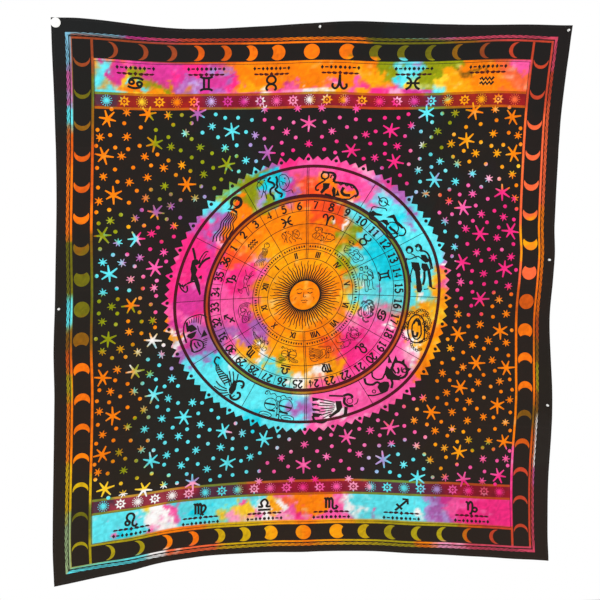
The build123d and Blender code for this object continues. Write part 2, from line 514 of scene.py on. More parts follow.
def dotLine(ink, x, y, turn, size):
    for side in (1, -1):
        for k in range(4):
            px = side * (11 + 10.5 * k)
            if k % 3 == 2:
                stroke(ink, moved([(px - 4, 0), (px + 4, 0)], x, y, size, turn), 3.6 * size)
            else:
                diamond = [(px, -5), (px + 4, 0), (px, 5.5), (px - 4, 0)]
                paint(ink, moved(diamond, x, y, size, turn))
    disc(ink, *moved([(0, 0)], x, y, size, turn)[0], 4.2 * size, 8)


def drawStrips():
    wide = strip["halfWide"]
    for side in (1, -1):
        def span(ink, first, last):
            bar(ink, -wide, wide, min(side * first, side * last), max(side * first, side * last))
        span("ochre", strip["end"], strip["inner"])
        span("bare", strip["inner"], strip["outer"])
        span("maroon", strip["bandInner"], strip["bandOuter"])
        middle = side * (strip["bandInner"] + strip["bandOuter"]) / 2
        for k in range(-12, 13):
            if k % 2:
                gearSun(strip["sunPitch"] * k, middle)
            else:
                burstSun(strip["sunPitch"] * k, middle)
        turn = 180 if side > 0 else 0
        names = strip["top"] if side > 0 else strip["bottom"]
        for x, name in zip(strip["signs"], names):
            y = side * strip["signHeight"]
            drawStrokes(signPaths[name], x, y, strip["signScale"], turn, strip["signWidth"])
            fleuron("brown", x, side * strip["leafHeight"], turn, strip["leafScale"])
            dotLine("black", x, side * strip["dotHeight"], turn, strip["dotScale"])


# the night field: one quarter's stars, repeated in the other three as a mirror image
starField = {
    "big": [
        (675, 795, 12), (475, 795, 25), (835, 770, -10), (0, 745, 30), (330, 720, -22), (650, 675, 20),
        (175, 625, -8), (850, 620, -8), (350, 580, 12), (520, 505, 0), (810, 460, 30), (645, 390, -8),
        (850, 295, 5), (720, 280, 0), (645, 155, 8), (825, 135, -25), (735, 0, 0),
    ],
    "small": [
        (190, 810), (50, 810), (760, 800), (595, 790), (415, 740), (525, 715), (95, 710), (760, 700),
        (230, 700), (865, 695), (585, 660), (465, 655), (0, 655), (360, 650), (780, 620), (690, 620),
        (270, 595), (540, 585), (615, 575), (450, 545), (850, 535), (680, 535), (750, 515), (610, 500),
        (685, 450), (485, 445), (865, 435), (585, 415), (725, 365), (820, 355), (570, 330), (660, 300),
        (790, 265), (610, 220), (705, 200), (850, 185), (775, 180), (740, 110), (645, 70), (850, 60),
        (815, 0),
    ],
    "dots": [
        (820, 810), (540, 790), (400, 790), (360, 775), (305, 775), (125, 770), (245, 765), (190, 765),
        (770, 755), (500, 755), (575, 750), (65, 750), (705, 740), (645, 730), (155, 730), (875, 725),
        (455, 715), (270, 715), (825, 705), (595, 700), (390, 695), (500, 690), (190, 685), (55, 685),
        (710, 665), (115, 665), (880, 660), (310, 660), (250, 660), (805, 655), (755, 650), (545, 645),
        (640, 630), (415, 630), (65, 630), (500, 615), (310, 615), (110, 615), (595, 605), (455, 595),
        (225, 590), (665, 585), (735, 575), (875, 570), (410, 570), (805, 565), (505, 560), (300, 550),
        (565, 545), (375, 520), (795, 515), (460, 495), (870, 490), (665, 485), (405, 485), (720, 480),
        (585, 465), (445, 450), (630, 445), (545, 440), (750, 430), (825, 400), (700, 400), (875, 390),
        (780, 380), (545, 365), (600, 360), (865, 345), (690, 335), (750, 330), (635, 325), (800, 310),
        (570, 285), (620, 265), (860, 240), (665, 235), (810, 215), (755, 215), (600, 180), (725, 165),
        (875, 130), (690, 120), (635, 100), (795, 75), (690, 70), (745, 65), (635, 35), (790, 30),
        (700, 30), (865, 25), (655, 0),
    ],
    "bigStar": (6, 38.0, 10.0, 4),        # arms, reach, root, unevenness in degrees
    "smallStar": (7, 18.5, 7.2, 5),
    "smallTurn": 50,
    "dotRadius": 8.2,
    "armTip": 0.07,
}


def star(x, y, arms, reach, root, uneven, turn):
    points = []
    tip = starField["armTip"]
    for k in range(arms):
        a = math.radians(turn + 360 * k / arms + random.uniform(-uneven, uneven))
        b = math.radians(turn + 360 * (k + 0.5) / arms)
        far = reach * random.uniform(0.84, 1.06)
        points.append((x + far * math.cos(a - tip), y + far * math.sin(a - tip)))
        points.append((x + far * math.cos(a + tip), y + far * math.sin(a + tip)))
        points.append((x + root * math.cos(b), y + root * math.sin(b)))
    paint("bare", points)


def drawStars():
    for sx in (-1, 1):
        for sy in (1, -1):
            def inQuarter(x, y):                  # what stands on an axis is drawn once
                return (x or sx > 0) and (y or sy > 0)
            for x, y, turn in starField["big"]:
                if inQuarter(x, y):
                    angle = turn if sx < 0 else 180 - turn
                    star(sx * x, sy * y, *starField["bigStar"], angle if sy > 0 else -angle)
            for x, y in starField["small"]:
                if inQuarter(x, y):
                    star(sx * x, sy * y, *starField["smallStar"], random.uniform(0, starField["smallTurn"]))
            for x, y in starField["dots"]:
                if inQuarter(x, y):
                    disc("bare", sx * x, sy * y, starField["dotRadius"], 12)


# the wheel
wheel = {
    "dots": 32,
    "teethPerDot": 3,
    "dotRing": 589,
    "dotRadius": 7.6,
    "tallTooth": 612,
    "tooth": 601,
    "valley": 584,
    "outerRing": (550.5, 563.5),
    "thickRing": (409, 418.5, 427.0, 437),      # brown, ochre, brown
    "ochreSlip": -5.0,        # the ochre is printed a little low
    "circles": [366, 309, 225, 199, 159],
    "hairline": 2.4,
    "spokes": ((159, 409), (437, 551)),
    "doubleSpoke": 3.5,       # half the gap of the upright pair
    "ticks": (367, 409),
    "tickWidth": 2.0,
    "sun": 63,
    "sunRim": 69,
    "rays": 64,
    "rayRoot": 66,
    "rayTip": 150,
    "rayWave": 0.95,          # degrees
    "rayWidth": (6.4, 0.38),  # and how far it narrows
    "numberRing": 389,
    "numberHeight": 32,
    "numberPitch": 68,
    "numberWidth": 7.0,
    "firstNumber": -55,       # degrees from the top
    "firstSign": -15,
    "signRing": 333,
    "signScale": 0.47,
    "signWidth": 7.0,
    "leafRing": 212,
    "leafPitch": 2.9,
    "romanRing": 178,
    "romanScale": 0.24,
    "romanWidth": 5.2,
    "footWidth": 2.6,
    "figureRing": 266,
    "figureScale": 0.54,
    "figureLine": 2.5,
}
digitPaths = {
    "0": [("loop", [(30, 100), (6, 76), (6, 24), (30, 0), (54, 24), (54, 76)])],
    "1": [("line", [(8, 76), (30, 98), (30, 0)]), ("line", [(10, 2), (50, 2)])],
    "2": [("curve", [(6, 74), (16, 96), (42, 97), (53, 74), (38, 42), (5, 4)]), ("line", [(4, 5), (56, 5)])],
    "3": [("curve", [(7, 86), (28, 100), (50, 86), (46, 62), (22, 53)]),
          ("curve", [(22, 53), (50, 46), (56, 20), (32, 0), (4, 12)])],
    "4": [("line", [(42, 0), (42, 100), (4, 30), (60, 30)])],
    "5": [("line", [(54, 96), (14, 96), (11, 56)]),
          ("curve", [(11, 56), (36, 63), (56, 38), (46, 8), (20, 0), (3, 14)])],
    "6": [("curve", [(50, 95), (22, 78), (6, 36), (18, 3), (42, 3), (55, 26), (42, 50), (18, 48), (8, 32)])],
    "7": [("line", [(5, 96), (56, 96), (24, 0)])],
    "8": [("loop", [(30, 54), (10, 72), (14, 94), (46, 94), (50, 72)]),
          ("loop", [(30, 54), (6, 32), (10, 4), (50, 4), (54, 32)])],
    "9": [("curve",
        [(53, 72), (42, 50), (18, 50), (6, 72), (18, 97), (42, 97), (54, 72), (46, 28), (12, 3)])],
}
romans = ["II", "III", "IV", "V", "VI", "VII", "VIII", "IX", "X", "XI", "XII", "I"]
romanPaths = {                                  # the letter's room, then its lines
    "I": (30, [(0, 100, 0, 0)]),
    "V": (68, [(-30, 100, 0, 0), (30, 100, 0, 0)]),
    "X": (68, [(-28, 100, 28, 0), (28, 100, -28, 0)]),
}
ringSigns = ["pisces", "aries", "taurus", "gemini", "cancer", "leo", "virgo", "libra", "scorpio",
             "sagittarius", "capricorn", "aquarius"]


def drawTeeth():
    count = wheel["dots"] * wheel["teethPerDot"]
    points = []
    for k in range(count):
        tall = wheel["tallTooth"] if k % wheel["teethPerDot"] == 0 else wheel["tooth"]
        angle = 360 * k / count
        points.append(ringPoint(tall, angle - 0.12))
        points.append(ringPoint(tall, angle + 0.12))
        points.append(ringPoint(wheel["valley"], angle + 180 / count))
    paint("bare", points)
    for k in range(wheel["dots"]):
        x, y = ringPoint(wheel["dotRing"], 360 * k / wheel["dots"])
        disc("black", x, y, wheel["dotRadius"], 12)


def circleLine(ink, inner, outer, sides=144):
    disc(ink, 0, 0, outer, sides)
    disc("bare", 0, 0, inner, sides)


def drawRings():
    circleLine("brown", *wheel["outerRing"])
    inner, ochreInner, ochreOuter, outer = wheel["thickRing"]
    for ink, height, radius in (
        ("brown", 0, outer), ("ochre", wheel["ochreSlip"], ochreOuter),
        ("brown", wheel["ochreSlip"], ochreInner), ("bare", 0, inner),
    ):
        disc(ink, 0, height, radius, 144)
    hairline = wheel["hairline"]
    for r in wheel["circles"]:
        circleLine("black", r - hairline / 2, r + hairline / 2, sides=96)
    for k in range(12):
        for first, last in wheel["spokes"]:
            path = [ringPoint(first, 30 * k), ringPoint(last, 30 * k)]
            if k in (0, 6):
                for side in (-1, 1):
                    stroke("black", moved(path, side * wheel["doubleSpoke"], 0), hairline)
            else:
                stroke("black", path, hairline)
    first, last = wheel["ticks"]
    for k in range(36):
        if k % 3:
            stroke("black", [ringPoint(first, 10 * k), ringPoint(last, 10 * k)], wheel["tickWidth"])


def placeOnRing(points, r, angle, scale):
    x, y = ringPoint(r, angle)
    return moved(points, x, y, scale, -angle)


def drawNumbers():
    size = wheel["numberHeight"] / 100
    pitch = wheel["numberPitch"] * size
    for number in range(1, 37):
        angle = wheel["firstNumber"] + 10 * (number - 1)
        x, y = ringPoint(wheel["numberRing"], angle)
        text = str(number)
        for k, digit in enumerate(text):
            shift = (k - (len(text) - 1) / 2) * pitch
            paths = [(kind, [((px - 30) * size + shift, (py - 50) * size) for px, py in points])
                     for kind, points in digitPaths[digit]]
            drawStrokes(paths, x, y, 1, -angle, wheel["numberWidth"], loopSteps=4)


def drawRomans():
    ring, high = wheel["romanRing"], wheel["romanScale"]
    for k, word in enumerate(romans):
        angle = wheel["firstSign"] + 30 * k
        place = -sum(romanPaths[letter][0] for letter in word) / 2
        for letter in word:
            room, lines = romanPaths[letter]
            middle = place + room / 2
            for x0, y0, x1, y1 in lines:
                line = [((middle + x0) * high, (y0 - 50) * high), ((middle + x1) * high, (y1 - 50) * high)]
                stroke("black", placeOnRing(line, ring, angle, 1), wheel["romanWidth"])
                for px, py in ((x0, y0), (x1, y1)):
                    foot = [((middle + px + side * 12) * high, (py - 50) * high) for side in (-1, 1)]
                    stroke("black", placeOnRing(foot, ring, angle, 1), wheel["footWidth"])
            place += room


def drawDial():
    drawNumbers()
    drawRomans()
    for k, name in enumerate(ringSigns):
        x, y = ringPoint(wheel["signRing"], wheel["firstSign"] + 30 * k)
        drawStrokes(signPaths[name], x, y, wheel["signScale"], 15 - 30 * k, wheel["signWidth"])
    for k in range(12):                                  # a small leaf chain in place of each name
        for j in range(-4, 5):
            angle = wheel["firstSign"] + 30 * k + j * wheel["leafPitch"]
            leaf = [(-5, -6), (0, 7), (5, -6), (0, -2)] if j % 2 else [(0, -7), (4, 0), (0, 7), (-4, 0)]
            paint("black", placeOnRing(leaf, wheel["leafRing"], angle, 1))


def drawSun():
    root = wheel["rayRoot"]
    for k in range(wheel["rays"]):
        angle = 360 * (k + 0.5) / wheel["rays"]
        far = wheel["rayTip"] * (1 - 0.10 * (k % 2))
        path = []
        for j in range(10):
            t = j / 9
            wave = wheel["rayWave"] * math.sin(2 * t * math.tau) * (0.4 + 0.6 * t)
            path.append(ringPoint(root + (far - root) * t, angle + wave))
        stroke("black", path, *wheel["rayWidth"])
    disc("black", 0, 0, wheel["sunRim"], 64)
    disc("bare", 0, 0, wheel["sun"], 48)
    for side in (-1, 1):                                  # closed eyes, brows and cheeks
        stroke("black", curve([(side * 12, 12), (side * 22, 8), (side * 33, 12)], 4), 3.6)
        stroke("black", curve([(side * 10, 24), (side * 22, 29), (side * 36, 24)], 4), 2.2)
        stroke("brown", curve([(side * 34, -8), (side * 40, -12), (side * 40, -20)], 3), 2.0)
    for points, width in (                                # a small nose, mouth and chin
        ([(-3, 14), (-5, -4), (0, -8), (6, -5)], 2.4),
        ([(-14, -24), (-5, -21), (0, -23), (5, -21), (14, -24)], 2.6),
        ([(-9, -29), (0, -33), (9, -29)], 2.2),
    ):
        stroke("black", curve(points, 4), width)


def ringOf(x, y, r, sides=12):
    return circlePoints(x, y, r, sides)


# the twelve figures, each drawn round its own middle; a row is kind, points, width
figures = {
    "aries": [
        ("loop", ringOf(-50, 50, 15), 6),
        ("curve", [(-62, 67), (-40, 63), (-20, 61), (-8, 50), (-12, 30), (-15, 20)], 8),
        ("curve", [(-28, 38), (-22, 52), (-12, 44), (-18, 30)], 4),
        ("curve", [(-64, 40), (-50, 30), (-76, 14), (-88, 0), (-84, -12), (-74, -10)], 6),
        ("fill", [(-58, 18), (-30, 16), (-34, -4), (-48, -14), (-62, -30), (-70, -20), (-58, -4)], 0),
        ("curve", [(-12, 20), (10, 18), (40, 13), (64, 6), (80, -14), (84, -32), (72, -42)], 8),
        ("curve", [(8, 16), (14, 8), (24, 14)], 4), ("curve", [(32, 12), (38, 4), (48, 10)], 4),
        ("curve", [(54, 6), (60, -4), (70, -2)], 4),
        ("fill", [(-16, 2), (-22, -14), (-17, -38), (-30, -43), (-6, -42), (-6, -8)], 0),
        ("fill", [(2, -12), (-7, -38), (12, -38)], 0),
        ("curve", [(27, -2), (19, -20), (30, -34), (54, -36)], 10),
        ("line", [(-6, -53), (50, -53), (66, -42), (76, -34)], 5), ("line", [(-50, -30), (-24, -38)], 7),
    ],
    "taurus": [
        ("loop", ringOf(-13, 64, 18), 3.4), ("curve", [(-34, 88), (-27, 72), (-18, 62)], 4),
        ("curve", [(12, 50), (0, 58), (-8, 66)], 4), ("fill", ringOf(-19, 68, 3, 6), 0),
        ("fill", ringOf(-6, 62, 3, 6), 0),
        ("curve", [(-62, 24), (-55, 42), (-30, 39), (-4, 36), (2, 26)], 3.6),
        ("fill", [(-68, 14), (-54, 27), (-40, 17), (-14, 10), (-18, 4), (-44, 5), (-60, 0)], 0),
        ("curve", [(-64, 24), (-69, 8), (-65, -6), (-52, -14), (-36, -22), (-26, -40)], 5),
        ("fill", [(-28, -18), (-10, -11), (6, -13), (14, -33), (2, -36), (-12, -24)], 0),
        ("fill", [(0, -2), (16, 7), (33, 13), (40, 2), (48, -16), (66, -31), (76, -44), (66, -48), (52, -35),
                  (38, -22), (28, -4)], 0),
        ("curve", [(-26, -40), (-13, -50), (0, -66), (8, -82), (26, -91), (50, -78)], 5),
        ("loop", ringOf(27, -46, 25, 14), 3.6),
        ("curve", [(15, -40), (22, -50), (33, -57), (42, -67), (50, -72)], 9),
        ("curve", [(72, -40), (82, -58), (72, -76), (52, -76)], 5),
    ],
    "gemini": [
        ("loop", ringOf(-57, 79, 11), 3.6),
        ("curve", [(-69, 78), (-66, 92), (-54, 95), (-45, 86), (-46, 74)], 7),
        ("curve", [(-33, 96), (-20, 106), (-9, 95), (-8, 76)], 8), ("loop", ringOf(-21, 88, 9), 2.6),
        ("curve", [(-12, 80), (6, 79), (22, 66), (34, 38), (43, 4)], 6),
        ("curve", [(24, 56), (31, 26), (37, 0)], 3.4),
        ("fill", [(-9, 63), (10, 64), (31, 36), (12, 29), (-5, 42)], 0),
        ("curve", [(-70, 46), (-58, 42), (-44, 46), (-20, 56), (2, 40), (22, 33)], 4),
        ("curve", [(-50, 66), (-36, 60), (-26, 46)], 3.4), ("curve", [(-66, 45), (-70, 12), (-60, -12)], 4),
        ("fill", [(-47, 31), (-15, 29), (-5, 0), (-12, -11), (-30, -9), (-43, 8)], 0),
        ("fill", [(-3, 27), (19, 26), (32, 2), (10, -11), (-4, 8)], 0),
        ("fill",
            [(-30, -6), (-7, -8), (-4, -40), (4, -66), (8, -86), (2, -100), (-12, -99), (-17, -82),
                (-22, -44)], 0),
        ("curve", [(-40, 4), (-46, -30), (-41, -58)], 3.6),
        ("curve", [(10, -8), (13, -40), (9, -66)], 8), ("curve", [(27, 2), (35, -32), (43, -74)], 10),
        ("curve", [(42, -72), (52, -79), (64, -80)], 4), ("line", [(14, -86), (34, -82)], 3),
    ],
    "cancer": [
        ("loop", [(-8, 62), (20, 57), (34, 24), (32, -38), (8, -58), (-22, -54), (-36, -20), (-32, 32)], 5),
        ("loop", [(0, 46), (16, 34), (20, -20), (2, -44), (-16, -32), (-18, 14)], 5),
        ("curve", [(-12, 24), (-4, 38), (8, 34), (12, 16)], 8),
        ("curve", [(-16, -6), (-14, -28), (0, -30), (5, -12)], 8),
        ("curve", [(30, 10), (46, 14), (52, 2)], 4), ("curve", [(-36, 4), (-46, 10), (-50, -4)], 4),
    ] + [
        ("loop", ringOf(x, y, 4.8, 8), 2.4) for path in (
            [(18, 54), (34, 64), (50, 54), (60, 30), (52, 4), (36, -2)],
            [(30, 26), (42, 34), (44, 14)],
            [(38, -10), (52, -18), (48, -36), (30, -48), (14, -56)],
            [(-38, 26), (-50, 14), (-60, -6), (-56, -34), (-38, -46)],
            [(-24, -60), (-20, -78), (-2, -92), (16, -86)],
            [(-34, 58), (-24, 74), (-4, 70), (10, 84), (32, 82), (48, 70)],
        ) for x, y in curve(path, 2)
    ],
    "leo": [
        ("loop", [(14, 44), (22, 62), (46, 62), (66, 48), (74, 24), (62, 0), (38, -8), (16, 6), (6, 24)], 9),
        ("fill", [(-6, 56), (0, 94), (12, 58)], 0), ("fill", [(16, 62), (28, 92), (38, 64)], 0),
        ("fill", [(46, 62), (64, 78), (64, 50)], 0), ("fill", [(70, 40), (92, 36), (74, 18)], 0),
        ("fill", [(-12, 44), (-22, 12), (-10, -14), (10, -18), (46, -18), (24, -2), (8, 8), (4, 28)], 0),
        ("curve", [(12, 34), (18, 22), (26, 12)], 7), ("curve", [(34, 38), (38, 22), (31, 12)], 7),
        ("curve", [(52, 40), (48, 26), (56, 16)], 4), ("loop", ringOf(62, 26, 8, 10), 4),
        ("curve", [(24, 4), (36, -1), (48, 6)], 4), ("curve", [(4, -14), (10, -30), (5, -54)], 8),
        ("fill", [(-44, -34), (-24, -26), (-6, -26), (-2, -44), (-10, -68), (-40, -76), (-52, -52)], 0),
        ("curve", [(-104, -14), (-98, -38), (-72, -42), (-52, -30), (-36, -42)], 8),
        ("curve", [(-72, 18), (-71, -6), (-54, -18), (-32, -14), (-22, 4), (-14, 20)], 5.5),
        ("curve", [(-92, -90), (-64, -89), (-30, -76), (-12, -66)], 5), ("loop", ringOf(-66, -72, 7, 9), 3),
    ],
    "virgo": [
        ("loop", ringOf(66, 30, 12), 2.6), ("curve", [(40, 52), (58, 59), (74, 52), (74, 42)], 9),
        ("curve", [(45, 46), (43, 22), (62, 7), (80, 10)], 9), ("curve", [(84, 14), (96, 22), (100, 40)], 3),
        ("fill", [(44, 6), (58, 2), (56, -34), (26, -38), (42, -28)], 0),
        ("fill", [(6, 30), (30, 30), (36, 2), (24, -18), (-12, -44), (-20, -38), (12, -8)], 0),
        ("line", [(-20, 54), (40, 51)], 6), ("line", [(4, 24), (-64, 40)], 4),
        ("line", [(2, 16), (-58, 24)], 4),
        ("line", [(6, 8), (-68, 12)], 3.4), ("line", [(4, 0), (-54, -4)], 4),
        ("line", [(2, -8), (-60, -18)], 3.4),
        ("line", [(-4, -16), (-52, -32)], 4), ("line", [(-10, -26), (-44, -46)], 3.4),
        ("fill", [(-90, 48), (-62, 42), (-64, 33), (-88, 30)], 0),
        ("fill", [(-90, 22), (-58, 16), (-88, 10)], 0),
        ("fill", [(-90, 0), (-52, -8), (-58, -14), (-86, -12)], 0),
        ("fill", [(-88, -20), (-48, -26), (-60, -40), (-84, -40)], 0),
        ("curve", [(-86, -34), (-76, -56), (-46, -64), (-26, -54)], 8),
    ],
    "libra": [
        ("line", [(-56, 16), (-9, 5)], 6), ("line", [(7, 3), (62, -13)], 6),
        ("loop", ringOf(-30, 10, 26, 18), 2.6),
        ("loop", ringOf(35, 0, 29, 18), 2.6), ("line", [(-37, -16), (-10, -22)], 6),
        ("line", [(9, -25), (46, -36)], 6),
        ("fill", ringOf(-2, -10, 5, 8), 0), ("loop", ringOf(5, 32, 11), 2.6),
        ("line", [(2, 22), (-2, -36)], 2.6),
        ("line", [(8, 22), (8, -40)], 2.6),
        ("curve", [(-54, 56), (-46, 70), (-34, 66), (-30, 54), (-12, 56), (-4, 44)], 2.6),
        ("curve", [(14, 42), (30, 46), (40, 34), (56, 36), (62, 24)], 2.6),
        ("loop", ringOf(-46, 60, 6, 8), 2.2),
        ("loop", [(-78, -26), (-60, -20), (-30, -32), (-26, -44), (-50, -48), (-74, -40)], 2.8),
        ("curve", [(-68, -32), (-50, -34), (-36, -40)], 2.4),
        ("loop", [(18, -44), (44, -42), (70, -54), (68, -68), (40, -66), (18, -56)], 2.8),
        ("curve", [(28, -52), (46, -54), (60, -60)], 2.4),
        ("curve", [(-4, -46), (-2, -36), (8, -42), (4, -62)], 4),
    ],
    "scorpio": [
        ("curve", [(-50, 70), (-60, 86), (-50, 106), (-36, 98)], 6),
        ("line", [(-55, 74), (-55, 50), (-38, 12), (-16, -22)], 3),
        ("line", [(-45, 74), (-38, 52), (-10, 22), (6, -6)], 3), ("line", [(-56, 66), (-42, 66)], 5),
        ("line", [(-56, 57), (-39, 58)], 5), ("line", [(-54, 48), (-35, 50)], 5),
        ("line", [(-50, 38), (-28, 42)], 5),
        ("line", [(-46, 28), (-20, 33)], 5), ("line", [(-41, 18), (-12, 24)], 5),
        ("line", [(-36, 8), (-6, 15)], 5),
        ("line", [(-29, -3), (-1, 6)], 5), ("line", [(-23, -13), (4, -4)], 5),
        ("curve", [(4, -26), (-4, 6), (-8, 26)], 4), ("curve", [(10, -26), (6, 10), (2, 40)], 4),
        ("curve", [(16, -24), (20, 8), (18, 38)], 4), ("curve", [(22, -22), (34, 0), (40, 26)], 4),
        ("curve", [(-10, -38), (-38, -22), (-56, 0)], 4), ("curve", [(-8, -46), (-42, -38), (-64, -22)], 4),
        ("curve", [(-4, -54), (-38, -54), (-56, -40)], 4), ("curve", [(0, -62), (-26, -68), (-46, -60)], 4),
        ("fill", [(26, 0), (34, -18), (28, -44), (12, -64), (0, -58), (-2, -40), (8, -22), (16, -8)], 0),
        ("curve", [(26, -12), (42, -6), (60, -12), (62, -28), (52, -40)], 8),
        ("curve", [(60, -30), (48, -26)], 4),
        ("curve", [(4, -62), (8, -80), (28, -88), (46, -76), (44, -60), (32, -58)], 8),
        ("curve", [(12, -76), (24, -68)], 4),
    ],
    "sagittarius": [
        ("curve", [(-50, 14), (-47, 56), (-28, 80), (18, 92), (48, 78)], 4),
        ("line", [(-38, 62), (-31, 20)], 8),
        ("fill", [(-31, 46), (-14, 51), (0, 38), (8, 28), (-20, 17), (-28, 24)], 0),
        ("fill", [(-32, 9), (5, 20), (-4, -3), (-18, -13), (-36, -2)], 0),
        ("fill", [(22, -10), (36, 25), (51, 0)], 0),
        ("line", [(-51, 18), (-38, -28)], 6),
        ("loop", [(-16, -20), (6, -18), (30, -30), (30, -56), (4, -70), (-16, -66)], 5),
        ("line", [(-18, -18), (-21, -42), (-12, -68)], 6), ("line", [(-6, -30), (-2, -44), (8, -56)], 5),
        ("line", [(8, -26), (12, -40), (20, -48)], 5), ("line", [(30, -20), (50, -14)], 2.6),
        ("line", [(31, -28), (50, -22)], 2.6),
        ("line", [(32, -37), (48, -31)], 2.6), ("line", [(32, -46), (46, -41)], 2.6),
        ("line", [(30, -56), (42, -52)], 2.6),
        ("line", [(-25, 56), (-28, 72)], 2.6), ("line", [(-16, 58), (-18, 77)], 2.6),
        ("line", [(-7, 58), (-7, 82)], 2.6),
        ("line", [(2, 58), (4, 85)], 2.6), ("line", [(11, 54), (14, 87)], 2.6),
        ("line", [(20, 48), (24, 87)], 2.6),
        ("line", [(8, 44), (14, 20), (24, 2)], 3),
    ],
    "capricorn": [
        ("curve", [(-2, 56), (-7, 80), (-13, 104)], 8),
        ("curve", [(12, 42), (26, 68), (40, 84), (52, 84)], 4),
        ("fill",
            [(-14, 50), (-2, 57), (8, 53), (12, 44), (21, 51), (19, 34), (4, 29), (-8, 26), (-18, 36)],
            0),
        ("curve", [(22, 38), (34, 60), (45, 76)], 3), ("curve", [(14, 16), (23, 33), (40, 50), (60, 58)], 8),
        ("fill", [(-17, 40), (-4, 35), (3, 20), (9, 8), (3, -12), (12, -28), (22, -58), (28, -98), (23, -105),
                  (8, -70), (-4, -36), (-19, -41), (-16, -10), (-21, 12)], 0),
        ("curve", [(8, -43), (-12, -42), (-32, -50)], 6), ("curve", [(-34, -50), (-50, -60), (-67, -46)], 6),
        ("curve", [(-64, -44), (-58, -66), (-38, -86), (-29, -78), (-33, -58)], 5),
        ("curve", [(16, -30), (26, -19), (25, -34)], 5),
        ("line", [(-52, -50), (-44, -70)], 3),
    ],
    "aquarius": [
        ("loop", ringOf(27, 70, 21, 20), 11), ("gap", [(-2, 44), (10, 34), (24, 50), (12, 60)], 0),
        ("line", [(7, 58), (1, 48)], 6), ("line", [(20, 46), (15, 38)], 6),
        ("curve", [(20, 74), (30, 84), (38, 76)], 3),
        ("fill", [(-12, 42), (6, 38), (20, 30), (34, 16), (32, 34), (12, 44), (-4, 48)], 0),
    ] + [
        ("curve",
            [(-6 + 7 * k + (-70 + 8 * k) * t / 12 + 4.5 * math.sin(t * 1.15),
                34 - 3 * k - (128 - 4 * k) * t / 12)
                   for t in range(13)], 4) for k in range(6)
    ],
    "pisces": [
        ("curve", [(-15, 46), (-26, 30), (-4, 20), (2, 6), (-14, -6), (-14, -26), (-2, -36), (2, -52)], 7.5),
        ("curve", [(8, 48), (14, 34), (12, 14), (16, 2), (6, -8), (20, -22), (36, -30), (30, -44)], 7.5),
        ("loop", [(22, 48), (50, 52), (68, 22), (52, -10), (28, -2)], 2.6),
        ("fill", ringOf(47, 38, 3.4, 7), 0),
        ("curve", [(40, 20), (50, 16), (54, 4)], 2.6), ("curve", [(28, 26), (36, 22), (40, 10)], 2.6),
        ("curve", [(36, -10), (56, -20), (76, -14), (84, -30)], 2.6),
        ("curve", [(-30, 44), (-56, 38), (-74, 14), (-60, -16)], 2.6),
        ("curve", [(-74, 30), (-54, 18), (-44, -2), (-54, -40)], 2.6),
        ("curve", [(-40, 24), (-32, 4), (-38, -20)], 2.6),
        ("curve", [(-46, -12), (-36, -24), (-30, -46)], 3.4), ("fill", ringOf(-42, 34, 3.4, 7), 0),
    ],
}
figurePlaces = {
    "aries": (121, 463), "taurus": (323, 338), "gemini": (476, 118), "cancer": (466, -142),
    "leo": (347, -352),
    "virgo": (116, -497), "libra": (-121, -482), "scorpio": (-330, -357), "sagittarius": (-467, -152),
    "capricorn": (-478, 128), "aquarius": (-336, 348), "pisces": (-146, 473),
}


def drawFigure(name, x, y, scale, outline=None):
    for kind, points, width in figures[name]:
        path = moved(points, x, y, scale)
        if kind == "gap":
            paintFree("bare", path)
        elif kind == "fill" and outline is None:
            paintFree("black", path)
        else:
            path = pathOf("loop" if kind == "fill" else kind, path, 3, 2)
            stroke("black", path, outline or width * 1.25)


def drawFigures():
    for name, (x, y) in figurePlaces.items():
        drawFigure(name, x, y, 1.0)
    for k, name in enumerate(ringSigns):
        x, y = ringPoint(wheel["figureRing"], wheel["firstSign"] + 30 * k)
        drawFigure(name, x, y, wheel["figureScale"], wheel["figureLine"])


drawBorder()
drawStrips()
drawStars()
drawTeeth()
drawRings()
drawDial()
drawSun()
drawFigures()
print("print drawn:", len(shapes), "shapes")


def splitLong(points, longest):
    out = []
    for (ax, ay), (bx, by) in zip(points, points[1:] + points[:1]):
        count = max(1, math.ceil(math.hypot(bx - ax, by - ay) / longest))
        out += [(ax + (bx - ax) * k / count, ay + (by - ay) * k / count) for k in range(count)]
    return out


def cutPrint(step, inset):
    places, faces = [], []
    for ink, points in shapes:
        ring = splitLong(points, step)
        faces.append(list(range(len(places), len(places) + len(ring))))
        places += ring
    wide, high = halfWide - inset, halfHigh - inset
    columns, rows = int(2 * wide / step), int(2 * high / step)
    for i in range(columns + 1):                 # points between the shapes, so that the print can bend
        for j in range(rows + 1):
            shift = 0.5 * step * (j % 2 - 0.5)
            places.append((-wide + 2 * wide * i / columns + shift, -high + 2 * high * j / rows))
    verts, _, tris, _, _, sources = delaunay_2d_cdt(places, [], faces, 0, 1e-4, True)
    flat = np.array([tuple(v) for v in verts])
    inks = [shapes[max(source)][0] if source else "bare" for source in sources]
    return flat, np.array(tris), np.array(inks)


printFlat, printTris, printInks = cutPrint(cloth["printStep"], cloth["printInset"])
print("print cut:", len(printFlat), "points,", len(printTris), "triangles")

